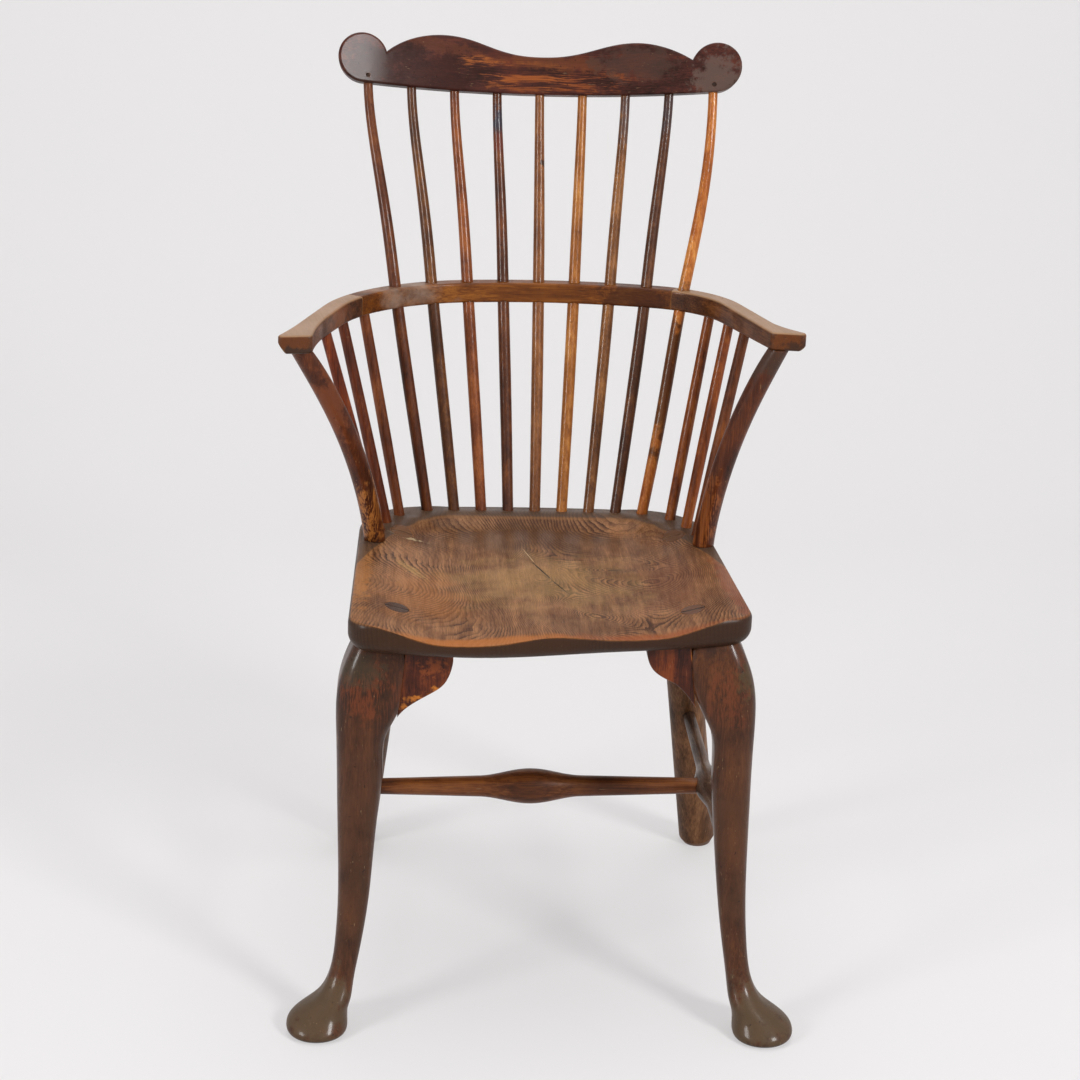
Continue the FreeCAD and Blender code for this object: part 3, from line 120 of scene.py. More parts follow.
def oldWood(name, look):
    # hand-finished hardwood, coloured by polish and use; look overrides the basics above
    look = {**woodBasics, **look}
    material = bpy.data.materials.new(name)
    material.use_nodes = True
    tree = material.node_tree
    tree.nodes.clear()
    coords = addNode(tree, "ShaderNodeTexCoord").outputs["Object"]

    turned = addNode(tree, "ShaderNodeVectorRotate", {
        "rotation_type": "EULER_XYZ", "invert": True, "Vector": coords,
        "Rotation": [math.radians(angle) for angle in look["grainTurn"]]})
    bend = addNode(tree, "ShaderNodeTexNoise", {
        "Vector": turned, "Scale": 1000 / (look["patchSize"] * look["bendSize"]), "Detail": 1.0}).outputs[1]
    stray = look["bendReach"] / 1000
    bent = addNode(tree, "ShaderNodeVectorMath", {**timesPlus, 0: bend, 1: (stray, stray, 0.0), 2: turned})
    across, along = 1000 / look["grainWidth"], 1000 / look["grainLength"]
    streaks = addNode(tree, "ShaderNodeVectorMath", {**times, 0: bent, 1: (across, across, along)})
    grain = addNode(tree, "ShaderNodeTexNoise", {
        "Vector": streaks, "Scale": 1.0, "Detail": 5.0, "Roughness": 0.62})
    broad = addNode(tree, "ShaderNodeTexNoise", {
        "Vector": streaks, "Scale": look["broadStreaks"], "Detail": 3.0, "Roughness": 0.5})
    fine = 1000 / look["poreWidth"]
    poreSpace = addNode(tree, "ShaderNodeVectorMath", {
        **times, 0: bent, 1: (fine, fine, fine / look["poreLength"])})
    pores = addNode(tree, "ShaderNodeTexNoise", {"Vector": poreSpace, "Scale": 1.0, "Detail": 2.0})
    pores = addNode(tree, "ShaderNodeMapRange", {**smooth, "Value": pores, "From Min": 0.6, "From Max": 0.72})
    cloud = addNode(tree, "ShaderNodeTexNoise", {
        "Vector": coords, "Scale": 1000 / look["patchSize"], "Detail": 4.0, "Roughness": 0.6})

    grainShare, broadShare, cloudShare = look["shares"]
    tone = addNode(tree, "ShaderNodeMath", {**times, 0: cloud, 1: cloudShare})
    tone = addNode(tree, "ShaderNodeMath", {**timesPlus, 0: broad, 1: broadShare, 2: tone})
    tone = addNode(tree, "ShaderNodeMath", {**timesPlus, 0: grain, 1: grainShare, 2: tone})
    if "rings" in look:
        rings = look["rings"](tree, coords)
        rings = addNode(tree, "ShaderNodeMath", {**times, 0: rings, 1: look["ringShare"]})
        tone = addNode(tree, "ShaderNodeMath", {**timesPlus, 0: tone, 1: 1 - look["ringShare"], 2: rings})
    ramp = addNode(tree, "ShaderNodeValToRGB", {"Fac": tone})
    stops = ramp.color_ramp.elements
    stops[0].position, stops[0].color = 0.5 - look["contrast"], linearColour(look["dark"])
    stops[1].position, stops[1].color = 0.5 + look["contrast"], linearColour(look["light"])
    stops.new(0.5).color = linearColour(look["mid"])
    amount = addNode(tree, "ShaderNodeMath", {**times, 0: pores, 1: look["poreDepth"]})
    colour = addNode(tree, "ShaderNodeMix", {
        **colours, 0: amount, 6: ramp, 7: linearColour(look.get("poreColour", look["dark"]))}).outputs[2]

    # duller where the tone is dark, smoother where it is light
    gloss = addNode(tree, "ShaderNodeMath", {**times, 0: grain, 1: look["glossShares"][0]})
    gloss = addNode(tree, "ShaderNodeMath", {**timesPlus, 0: cloud, 1: look["glossShares"][1], 2: gloss})
    roughness = addNode(tree, "ShaderNodeMapRange", {
        **smooth, "Value": gloss, "From Min": 0.36, "From Max": 0.64,
        "To Min": look["roughness"][1], "To Max": look["roughness"][0]})
    relief = addNode(tree, "ShaderNodeMath", {**times, 0: pores, 1: look["reliefShares"][1]})
    relief = addNode(tree, "ShaderNodeMath", {**timesPlus, 0: grain, 1: look["reliefShares"][0], 2: relief})

    for mark in look.get("wear", ()):
        mask = placeWear(tree, coords, mark)
        if "over" in mark:      # the mark shows most in the streaks of the grain
            fineShare, wideShare = look["streakShares"]
            streak = addNode(tree, "ShaderNodeMath", {**times, 0: broad, 1: wideShare})
            streak = addNode(tree, "ShaderNodeMath", {**timesPlus, 0: grain, 1: fineShare, 2: streak})
            streak = addNode(tree, "ShaderNodeMapRange", {
                **smooth, "Value": streak, "From Min": mark["over"] - 0.05, "From Max": mark["over"] + 0.05})
            mask = addNode(tree, "ShaderNodeMath", {**times, 0: mask, 1: streak})
        colour = addNode(tree, "ShaderNodeMix", {
            **colours, 0: mask, 6: colour, 7: linearColour(mark["colour"])}).outputs[2]
        if "roughness" in mark:
            roughness = addNode(tree, "ShaderNodeMix", {0: mask, 2: roughness, 3: mark["roughness"]})
        if "depth" in mark:
            relief = addNode(tree, "ShaderNodeMath", {**timesPlus, 0: mask, 1: -mark["depth"], 2: relief})

    if "strip" in look:
        colour = look["strip"](tree, coords, colour)
    normal = addNode(tree, "ShaderNodeNewGeometry").outputs["Normal"]
    facing = addNode(tree, "ShaderNodeSeparateXYZ", {"Vector": normal}).outputs
    # painted shade and painted sheen: the colour changes with which way a face turns
    for side in look.get("sides", ()):
        amount = addNode(tree, "ShaderNodeMapRange", {
            **smooth, "Value": facing[side["axis"]], "From Min": side["from"], "From Max": side["to"],
            "To Max": side["amount"]})
        colour = addNode(tree, "ShaderNodeMix", {
            **colours, 0: amount, 6: colour, 7: linearColour(side["colour"])}).outputs[2]

    # edges rubbed by use: where a softened normal leaves the true one
    soft = addNode(tree, "ShaderNodeBevel", {"samples": 6, "Radius": look["edgeWidth"] / 1000})
    match = addNode(tree, "ShaderNodeVectorMath", {"operation": "DOT_PRODUCT", 0: soft, 1: normal}).outputs[1]
    rub = addNode(tree, "ShaderNodeMapRange", {
        **smooth, "Value": match, "From Min": look["edgeMatch"][0], "From Max": look["edgeMatch"][1]})
    patches = addNode(tree, "ShaderNodeTexNoise", {
        "Vector": coords, "Scale": 1000 / look["rubbedPatch"], "Detail": 4.0, "Roughness": 0.65})
    patches = addNode(tree, "ShaderNodeMapRange", {
        **smooth, "Value": patches, "From Min": 0.34, "From Max": 0.58, "To Max": look["rubbed"]})
    rub = addNode(tree, "ShaderNodeMath", {**times, 0: rub, 1: patches})
    colour = addNode(tree, "ShaderNodeMix", {
        **colours, 0: rub, 6: colour, 7: linearColour(look.get("rubbedColour", look["light"]))}).outputs[2]

    # short thin scratches along the grain, pale where they cut the polish, and small dark dents
    scratchSpace = addNode(tree, "ShaderNodeVectorMath", {**times, 0: bent, 1: look["scratchScale"]})
    thin = addNode(tree, "ShaderNodeTexNoise", {"Vector": scratchSpace, "Scale": 1.0, "Detail": 1.0})
    thin = addNode(tree, "ShaderNodeMapRange", {**smooth, "Value": thin, "From Min": 0.7, "From Max": 0.78})
    some = addNode(tree, "ShaderNodeTexNoise", {
        "Vector": coords, "Scale": 1000 / look["scratchPatch"], "Detail": 2.0, "Roughness": 0.55})
    some = addNode(tree, "ShaderNodeMapRange", {
        **smooth, "Value": some, "From Min": 0.5, "From Max": 0.64, "To Max": look["scratches"]})
    scratch = addNode(tree, "ShaderNodeMath", {**times, 0: thin, 1: some})
    colour = addNode(tree, "ShaderNodeMix", {
        **colours, 0: scratch, 6: colour, 7: linearColour(look["scratchColour"])}).outputs[2]
    dents = addNode(tree, "ShaderNodeTexNoise", {
        "Vector": coords, "Scale": 1000 / look["dentSize"], "Detail": 1.0, "Roughness": 0.55})
    dents = addNode(tree, "ShaderNodeMapRange", {
        **smooth, "Value": dents, "From Min": 0.72, "From Max": 0.8, "To Max": look["dents"]})
    colour = addNode(tree, "ShaderNodeMix", {
        **colours, 0: dents, 6: colour, 7: linearColour(look["dark"])}).outputs[2]
    relief = addNode(tree, "ShaderNodeMath", {"operation": "SUBTRACT", 0: relief, 1: scratch})
    relief = addNode(tree, "ShaderNodeMath", {"operation": "SUBTRACT", 0: relief, 1: dents})

    bump = addNode(tree, "ShaderNodeBump", {
        "Strength": look["bump"], "Distance": look["bumpHeight"] / 1000, "Height": relief, "Normal": soft})
    shader = addNode(tree, "ShaderNodeBsdfPrincipled", {
        "Base Color": colour, "Roughness": roughness, "Normal": bump,
        "IOR": look["ior"], "Specular IOR Level": look["specular"],
        "Coat Weight": look["coat"], "Coat Roughness": look["coatRoughness"], "Coat IOR": look["ior"]})
    addNode(tree, "ShaderNodeOutputMaterial", {"Surface": shader})
    return material


def finishNode(material, *names):
    for name in names:
        nodes[name].material_slots[0].material = material


# Seat: one wide elm board, sawn flat, so the growth rings show as loops and long waves.
seatRings = {
    "loops": [               # centre x, y, radii x, y in mm, height of the hill that the rings go round
        (-9, -52, 44, 58, 2.3),
        (38, -166, 56, 36, 1.9),
        (154, -64, 70, 86, -2.1),
        (96, -17, 44, 20, 1.2),
        (-116, -124, 96, 66, -1.1),
        (64, 66, 130, 54, 0.9),
    ],
    "ringGap": 12.0,         # rings in one unit of hill height
    "lean": 14.0,            # units of height that the ground rises in a metre of x
    "wander": (190.0, 5.0),      # mm, and units of height
    "ragged": (14.0, 1.5),       # mm, and rings
    "faint": (80.0, 0.35),       # mm, and what is left of a ring where it is faintest
    "sharpness": 1.8,        # of a ring's dark late wood
    "tones": (0.6, 0.18),    # of pale early wood and dark late wood
}


def elmRings(tree, coords):
    flat = addNode(tree, "ShaderNodeVectorMath", {**times, 0: coords, 1: (1.0, 1.0, 0.15)})
    wanderSize, wanderHeight = seatRings["wander"]
    wander = addNode(tree, "ShaderNodeTexNoise", {
        "Vector": flat, "Scale": 1000 / wanderSize, "Detail": 1.0, "Roughness": 0.4})
    parts = addNode(tree, "ShaderNodeSeparateXYZ", {"Vector": coords}).outputs
    field = addNode(tree, "ShaderNodeMath", {**times, 0: parts[0], 1: seatRings["lean"]})
    field = addNode(tree, "ShaderNodeMath", {**timesPlus, 0: wander, 1: wanderHeight, 2: field})
    for x, y, radiusX, radiusY, height in seatRings["loops"]:
        moved = addNode(tree, "ShaderNodeVectorMath", {
            "operation": "SUBTRACT", 0: coords, 1: (x / 1000, y / 1000, 0.0)})
        scaled = addNode(tree, "ShaderNodeVectorMath", {
            **times, 0: moved, 1: (1000 / radiusX, 1000 / radiusY, 0.0)})
        squared = addNode(tree, "ShaderNodeVectorMath", {
            "operation": "DOT_PRODUCT", 0: scaled, 1: scaled}).outputs[1]
        squared = addNode(tree, "ShaderNodeMath", {**times, 0: squared, 1: -1.0})
        hill = addNode(tree, "ShaderNodeMath", {"operation": "EXPONENT", 0: squared})
        field = addNode(tree, "ShaderNodeMath", {**timesPlus, 0: hill, 1: height, 2: field})
    raggedSize, raggedRings = seatRings["ragged"]
    rough = addNode(tree, "ShaderNodeTexNoise", {
        "Vector": flat, "Scale": 1000 / raggedSize, "Detail": 4.0, "Roughness": 0.6})
    rough = addNode(tree, "ShaderNodeMath", {**times, 0: rough, 1: raggedRings})
    field = addNode(tree, "ShaderNodeMath", {**timesPlus, 0: field, 1: seatRings["ringGap"], 2: rough})
    saw = addNode(tree, "ShaderNodeMath", {"operation": "FRACT", 0: field})
    saw = addNode(tree, "ShaderNodeMath", {"operation": "POWER", 0: saw, 1: seatRings["sharpness"]})
    faintSize, faintest = seatRings["faint"]
    faint = addNode(tree, "ShaderNodeTexNoise", {
        "Vector": flat, "Scale": 1000 / faintSize, "Detail": 2.0, "Roughness": 0.55})
    faint = addNode(tree, "ShaderNodeMapRange", {
        **smooth, "Value": faint, "From Min": 0.4, "From Max": 0.6, "To Min": faintest})
    line = addNode(tree, "ShaderNodeMath", {**times, 0: saw, 1: faint})
    pale, dark = seatRings["tones"]
    return addNode(tree, "ShaderNodeMapRange", {**smooth, "Value": line, "To Min": pale, "To Max": dark})


# the carved dish ends at the back in a ridge; the flat strip behind it is duller and greyer, and a thin
# painted highlight runs along the ridge
seatRidge = {
    "middleX": 4.0, "y": 142.5, "straight": 100.0, "run": 64.0, "drop": 62.0,    # mm, as the carving
    "behind": "#4b3b30", "behindFrom": -10.0, "behindFull": -4.0, "behindAmount": 0.8,
    "lit": "#855c38", "litAt": -9.0, "litWidth": 4.0, "litAmount": 0.45,
}


def seatStrip(tree, coords, colour):
    parts = addNode(tree, "ShaderNodeSeparateXYZ", {"Vector": coords}).outputs
    across = addNode(tree, "ShaderNodeMath", {
        "operation": "SUBTRACT", 0: parts[0], 1: seatRidge["middleX"] / 1000})
    across = addNode(tree, "ShaderNodeMath", {"operation": "ABSOLUTE", 0: across})
    beyond = addNode(tree, "ShaderNodeMath", {
        "operation": "SUBTRACT", 0: across, 1: seatRidge["straight"] / 1000})
    beyond = addNode(tree, "ShaderNodeMath", {"operation": "MAXIMUM", 0: beyond, 1: 0.0})
    beyond = addNode(tree, "ShaderNodeMath", {**times, 0: beyond, 1: 1000 / seatRidge["run"]})
    beyond = addNode(tree, "ShaderNodeMath", {"operation": "POWER", 0: beyond, 1: 2.0})
    past = addNode(tree, "ShaderNodeMath", {"operation": "SUBTRACT", 0: parts[1], 1: seatRidge["y"] / 1000})
    past = addNode(tree, "ShaderNodeMath", {**timesPlus, 0: beyond, 1: seatRidge["drop"] / 1000, 2: past})
    amount = addNode(tree, "ShaderNodeMapRange", {
        **smooth, "Value": past, "From Min": seatRidge["behindFrom"] / 1000,
        "From Max": seatRidge["behindFull"] / 1000, "To Max": seatRidge["behindAmount"]})
    colour = addNode(tree, "ShaderNodeMix", {
        **colours, 0: amount, 6: colour, 7: linearColour(seatRidge["behind"])}).outputs[2]
    # a thin painted highlight along the rounding of the ridge
    edge = addNode(tree, "ShaderNodeMath", {"operation": "SUBTRACT", 0: past, 1: seatRidge["litAt"] / 1000})
    edge = addNode(tree, "ShaderNodeMath", {"operation": "ABSOLUTE", 0: edge})
    amount = addNode(tree, "ShaderNodeMapRange", {
        **smooth, "Value": edge, "From Min": seatRidge["litWidth"] / 1000, "From Max": 0.0,
        "To Max": seatRidge["litAmount"]})
    return addNode(tree, "ShaderNodeMix", {
        **colours, 0: amount, 6: colour, 7: linearColour(seatRidge["lit"])}).outputs[2]


seatLook = {
    "dark": "#3a200f", "mid": "#6a442a", "light": "#a0714a", "poreColour": "#2c190b",
    "grainTurn": (90, 0, 0), "grainWidth": 1.1, "grainLength": 16.0, "patchSize": 110.0, "poreDepth": 0.5,
    "rings": elmRings, "ringShare": 0.42, "contrast": 0.1, "coat": 0.12, "coatRoughness": 0.28,
    "rubbedColour": "#9c5f2c", "rubbed": 0.6,
    "strip": seatStrip,
    "sides": [
        {"axis": 2, "from": 0.72, "to": 0.42, "amount": 0.95, "colour": "#2c1b10"},     # sawn edges painted dark, painted shade on faces turned away from the top
    ],
    "wear": [
        # golden middle, browner back, orange left, redder right
        {"at": (4, -60, 446), "radii": (150, 130, 40), "colour": "#a5834f", "amount": 0.35, "grit": 30,
         "core": 0.1},
        {"at": (4, 90, 450), "radii": (190, 90, 40), "colour": "#432814", "amount": 0.62, "grit": 70,
         "core": 0.1},
        {"at": (-128, -120, 446), "radii": (80, 110, 40), "colour": "#a3652f", "amount": 0.4, "grit": 50,
         "core": 0.1},
        {"at": (150, -60, 446), "radii": (64, 150, 40), "colour": "#6b3a22", "amount": 0.4, "grit": 50,
         "core": 0.1},
        # front rim and sides rubbed by legs and clothes
        {"at": (-71, -243, 444), "radii": (170, 17, 30), "turn": (0, 0, 1), "colour": "#ab6426",
         "amount": 0.8, "grit": 40, "ragged": 1.0, "core": 0.3},
        {"at": (120, -220, 446), "radii": (130, 16, 30), "turn": (0, 0, 9), "colour": "#8f481b",
         "amount": 0.75, "grit": 40, "ragged": 1.0, "core": 0.3},
        {"at": (-202, -60, 452), "radii": (15, 150, 18), "colour": "#a26a38", "amount": 0.65, "grit": 12},
        {"at": (211, -104, 452), "radii": (14, 130, 18), "turn": (0, 0, 4), "colour": "#7a3c1f",
         "amount": 0.6, "grit": 12},
        # bare spots, then knots
        {"at": (-146, -36, 446), "radii": (30, 8, 20), "turn": (0, 0, -52), "colour": "#b08f52",
         "amount": 0.4, "grit": 3, "ragged": 4.0},
        {"at": (-150, 66, 452), "radii": (24, 4, 20), "turn": (0, 0, -6), "colour": "#c9b48c",
         "amount": 0.6, "grit": 4, "ragged": 3.0},
        {"at": (200, 44, 455), "radii": (16, 5, 14), "colour": "#c2926a", "amount": 0.6, "grit": 4,
         "ragged": 3.0},
        {"at": (-160, -166, 447), "radii": (17, 8, 20), "turn": (0, 0, -12), "colour": "#2e1d14",
         "amount": 0.5, "grit": 8},
        {"at": (96, -17, 446), "radii": (22, 8, 20), "colour": "#3d281d", "amount": 0.4, "grit": 10},
        # drying crack, from the middle of the seat towards the front
        {"at": (-9, 18, 446), "radii": (31, 0.8, 30), "turn": (0, 0, -77), "colour": "#c0a27a",
         "amount": 0.7, "grit": 14, "ragged": 0.9, "depth": 2.0},
        {"at": (3, -32, 446), "radii": (38, 1.2, 30), "turn": (0, 0, -72), "colour": "#120a06",
         "amount": 0.95, "grit": 14, "ragged": 0.9, "depth": 4.0},
        {"at": (20, -82, 446), "radii": (27, 1.0, 30), "turn": (0, 0, -68), "colour": "#120a06",
         "amount": 0.95, "grit": 14, "ragged": 0.9, "depth": 4.0},
    ],
}
finishNode(oldWood("waxedElm", seatLook), "seat")      # satin, swirled and worn bright at the rim
print("seat finished")

# Comb: dark polished fruitwood, rubbed through to orange in the middle.
combLook = {
    "dark": "#21100a", "mid": "#40201a", "light": "#5d2e20", "grainTurn": (0, 90, 0), "grainLength": 70.0,
    "grainWidth": 1.5, "patchSize": 60.0, "roughness": (0.3, 0.48), "coat": 0.12, "specular": 0.08,
    "rubbedColour": "#7d4526", "edgeWidth": 2.5, "scratches": 0.35,
    "wear": [
        # orange streaks in the middle
        {"at": (-34, 303, 960), "radii": (100, 30, 22), "turn": (0, 4, 0), "colour": "#a05a28",
         "amount": 0.75, "grit": 30, "ragged": 2.0, "over": 0.54},
        {"at": (44, 303, 953), "radii": (130, 30, 18), "colour": "#854622", "amount": 0.65, "grit": 26,
         "ragged": 2.0, "over": 0.52},
        {"at": (20, 303, 975), "radii": (80, 30, 12), "turn": (0, 4, 0), "colour": "#63361f",
         "amount": 0.6, "grit": 14},
        {"at": (-121, 290, 992), "radii": (60, 40, 10), "turn": (0, 12, 0), "colour": "#64341f",
         "amount": 0.45, "grit": 8},
        # dark red left half, a greyer left ear, the right ear painted pale grey as a painted sheen, and a
        # greyer right half
        {"at": (-140, 285, 960), "radii": (80, 40, 34), "colour": "#2c100a", "amount": 0.75, "grit": 24},
        {"at": (-208, 270, 965), "radii": (34, 30, 34), "colour": "#3a261f", "amount": 0.7, "grit": 9},
        {"at": (212, 270, 965), "radii": (36, 30, 36), "colour": "#5e4c44", "amount": 0.75, "grit": 9},
        {"at": (120, 295, 978), "radii": (70, 30, 26), "colour": "#46322a", "amount": 0.65, "grit": 14},
    ],
}
finishNode(oldWood("polishedPear", combLook), "comb")   # near black red, worn to orange streaks

# Arm bow in three pieces.
railLook = {
    "dark": "#3c1e0a", "mid": "#693811", "light": "#92581f", "grainTurn": (0, 90, 0), "grainLength": 70.0,
    "rubbedColour": "#a06733", "roughness": (0.34, 0.5), "dents": 0.9, "dentSize": 3.2, "edgeWidth": 2.5,
    "wear": [
        # paler at the left end: a painted sheen
        {"at": (-170, 200, 712), "radii": (70, 60, 34), "colour": "#9c8473", "amount": 0.75, "grit": 40,
         "core": 0.1, "roughness": 0.4},
        {"at": (122, 220, 712), "radii": (52, 40, 26), "colour": "#361709", "amount": 0.75, "grit": 20},
    ],
}
armLook = {
    "dark": "#2c160a", "mid": "#4f2d18", "light": "#7a4a28", "grainTurn": (90, 0, 12), "grainLength": 70.0,
    "rubbedColour": "#b5824f", "rubbed": 0.6, "roughness": (0.3, 0.46), "coat": 0.2,
    "wear": [
        # hand ends: brown above, and painted nearly black below, painted shade under them
        {"at": (-276, -60, 713), "radii": (50, 14, 12), "colour": "#5b3013", "amount": 0.85, "grit": 10},
        {"at": (265, -4, 713), "radii": (34, 14, 16), "colour": "#5f3110", "amount": 0.85, "grit": 10},
        {"at": (-280, -62, 702), "radii": (50, 24, 9), "colour": "#33231a", "amount": 0.9, "grit": 8},
        {"at": (288, -4, 703), "radii": (26, 24, 13), "colour": "#352015", "amount": 0.85, "grit": 8},
        {"at": (-225, 80, 712), "radii": (24, 40, 20), "colour": "#7a4322", "amount": 0.6, "grit": 10,
         "ragged": 3.0},
    ],
    "sides": [{"axis": 2, "from": 0.35, "to": 0.85, "amount": 0.6, "colour": "#b08a66"}],     # tops painted pale, a painted sheen
}
# brown polish with a soft shine, and a painted pale sheen at its left end
finishNode(oldWood("wornAshRail", railLook), "arm_back_rail")
# the tops painted pale and kept smooth, a painted sheen; the corners under the hand ends painted dark,
# painted shade
finishNode(oldWood("wornAshArms", armLook), "arm_left", "arm_right")
print("comb and arms finished")

# Arm posts and spindles: turned or shaved rods, each with its own tone.
postLook = {
    "dark": "#220c05", "mid": "#48200c", "light": "#6e3717", "grainLength": 120.0, "grainWidth": 1.3,
    "contrast": 0.15, "roughness": (0.28, 0.46), "coat": 0.25, "scratches": 0.6, "scratchColour": "#b98f5f",
    "wear": [
        {"at": (-190, 20, 500), "radii": (22, 26, 70), "colour": "#a2652f", "amount": 0.85, "grit": 14,
         "ragged": 2.6, "over": 0.5},
        {"at": (-240, -10, 640), "radii": (26, 26, 80), "colour": "#7a3f1f", "amount": 0.6, "grit": 16},
        {"at": (192, 22, 500), "radii": (20, 26, 60), "colour": "#8a4d24", "amount": 0.8, "grit": 14,
         "ragged": 2.6, "over": 0.5},
        {"at": (250, 14, 690), "radii": (30, 30, 30), "colour": "#3a2c22", "amount": 0.6, "grit": 16},
    ],
}
# red-brown and glossy, rubbed to bare tan low on the inner side
finishNode(oldWood("polishedAshPosts", postLook), "arm_post_left", "arm_post_right")

spindleBasics = {
    "grainLength": 160.0, "grainWidth": 1.2, "patchSize": 60.0, "contrast": 0.15, "roughness": (0.3, 0.5),
    "coat": 0.22, "coatRoughness": 0.1, "edgeWidth": 1.0, "rubbed": 0.0,
}
spindleTones = {        # dark, middle and light
    "long_spindle_1": ("#2e150b", "#5c2f18", "#8a5128"),
    "long_spindle_2": ("#2a150a", "#532f18", "#865428"),
    "long_spindle_3": ("#3c1a0a", "#783e1d", "#a8622f"),
    "long_spindle_4": ("#260f08", "#522a14", "#824922"),
    "long_spindle_5": ("#3a1e0f", "#774725", "#a8703f"),
    "long_spindle_6": ("#55290f", "#965a24", "#c48643"),
    "long_spindle_7": ("#371c0e", "#704523", "#a8723f"),
    "long_spindle_8": ("#231008", "#4d2b17", "#7d4e2a"),
    "long_spindle_9": ("#5d2a0e", "#a35a22", "#d8934a"),
    "short_spindle_left_1": ("#2c1209", "#603018", "#8a4d28"),
    "short_spindle_left_2": ("#260f07", "#562510", "#81451f"),
    "short_spindle_left_3": ("#2c1007", "#66290f", "#92491f"),
    "short_spindle_right_1": ("#431a08", "#84441a", "#b06c30"),
    "short_spindle_right_2": ("#3b1607", "#7c3d18", "#a6622b"),
    "short_spindle_right_3": ("#2d1308", "#633318", "#8d5228"),
}
for name, (dark, mid, light) in spindleTones.items():
    look = {**spindleBasics, "dark": dark, "mid": mid, "light": light}
    if name == "long_spindle_4":        # bare blue-grey patch with a red lower end
        look["wear"] = [
            {"at": (-45, 295, 905), "radii": (16, 24, 22), "colour": "#2b2f3a", "amount": 0.85, "grit": 12},
            {"at": (-42, 285, 880), "radii": (16, 24, 18), "colour": "#6b2a1c", "amount": 0.6, "grit": 12},
        ]
    if name == "long_spindle_5":        # small split-out knot
        look["wear"] = [{"at": (7, 280, 858), "radii": (8, 20, 4), "turn": (0, 30, 0), "colour": "#1f140f",
                         "amount": 0.8, "grit": 6}]
    if name in ("long_spindle_7", "long_spindle_8"):        # duller, bluish brown below the comb
        low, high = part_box(name)
        look["wear"] = [{"at": (high[0] * 1000, 295, 910), "radii": (30, 40, 40), "colour": "#3a3338",
                         "amount": 0.6, "grit": 16}]
    if name == "long_spindle_9":        # orange above, brown below
        look["wear"] = [{"at": (180, 190, 590), "radii": (60, 100, 140), "colour": "#4a2812", "amount": 0.85,
                         "grit": 20}]
    finishNode(oldWood("shavedAsh_" + name, look), name)      # long straight streaks with a thin highlight
print("posts and spindles finished")

# Front legs and brackets: dark above, browner down the shin, grey and rubbed at the foot.
legLook = {
    "dark": "#1e1008", "mid": "#402211", "light": "#5e361d", "grainLength": 120.0, "grainWidth": 1.8,
    "patchSize": 90.0, "contrast": 0.14, "roughness": (0.28, 0.46), "coat": 0.25, "coatRoughness": 0.16,
    "scratches": 0.5, "rubbedColour": "#7a5030", "dents": 0.7,
    "wear": [
        # browner shins, grey feet
        {"at": (-208, -214, 160), "radii": (80, 80, 200), "colour": "#50311d", "amount": 0.6, "grit": 40,
         "core": 0.2},
        {"at": (216, -214, 160), "radii": (80, 80, 200), "colour": "#50311d", "amount": 0.6, "grit": 40,
         "core": 0.2},
        {"at": (-236, -276, 20), "radii": (66, 66, 56), "colour": "#54432f", "amount": 0.75, "grit": 22,
         "roughness": 0.5},
        {"at": (244, -280, 20), "radii": (66, 66, 56), "colour": "#54432f", "amount": 0.75, "grit": 22,
         "roughness": 0.5},
        # turned pad: its lowest few mm painted near black, painted shade where the foot meets the floor
        {"at": (-240, -278, 0), "radii": (90, 90, 6), "colour": "#1d1610", "amount": 0.85},
        {"at": (248, -286, 0), "radii": (90, 90, 6), "colour": "#1d1610", "amount": 0.85},
        # red-brown and grimy patches on the knees
        {"at": (-190, -214, 372), "radii": (60, 40, 34), "colour": "#6b3319", "amount": 0.6, "grit": 20,
         "over": 0.5},
        {"at": (-201, -220, 398), "radii": (34, 30, 24), "colour": "#3c3122", "amount": 0.6, "grit": 12},
        {"at": (226, -220, 392), "radii": (24, 30, 34), "colour": "#4b3d26", "amount": 0.6, "grit": 9},
        {"at": (196, -214, 372), "radii": (30, 40, 40), "colour": "#63301a", "amount": 0.6, "grit": 20,
         "over": 0.5},
        # tenon ends in the seat
        {"at": (-160, -165, 445), "radii": (40, 40, 16), "colour": "#3f2718", "amount": 1.0},
        {"at": (160, -155, 445), "radii": (40, 40, 16), "colour": "#5a3822", "amount": 1.0},
    ],
}
bracketLook = {
    "dark": "#280e07", "mid": "#4a1f0f", "light": "#733616", "grainLength": 50.0, "patchSize": 26.0,
    "roughness": (0.32, 0.5), "coat": 0.2, "rubbedColour": "#b56a26", "rubbed": 0.9, "edgeWidth": 2.5,
    "wear": [
        {"at": (-126, -222, 366), "radii": (40, 22, 9), "turn": (0, -22, 0), "colour": "#b76c26",
         "amount": 0.9, "grit": 12, "ragged": 3.0},
        {"at": (-120, -222, 400), "radii": (26, 22, 16), "colour": "#86421c", "amount": 0.7, "grit": 9,
         "ragged": 3.0},
        {"at": (126, -222, 384), "radii": (30, 22, 12), "turn": (0, 30, 0), "colour": "#a3561d",
         "amount": 0.85, "grit": 9, "ragged": 3.0},
    ],
}
# close even grain under a deep polish, with clear highlights on knees and feet
finishNode(oldWood("polishedBeechLegs", legLook), "front_leg_left", "front_leg_right")
# dark red, chipped to orange along the edges
finishNode(oldWood("polishedBeechBrackets", bracketLook), "knee_bracket_left", "knee_bracket_right")

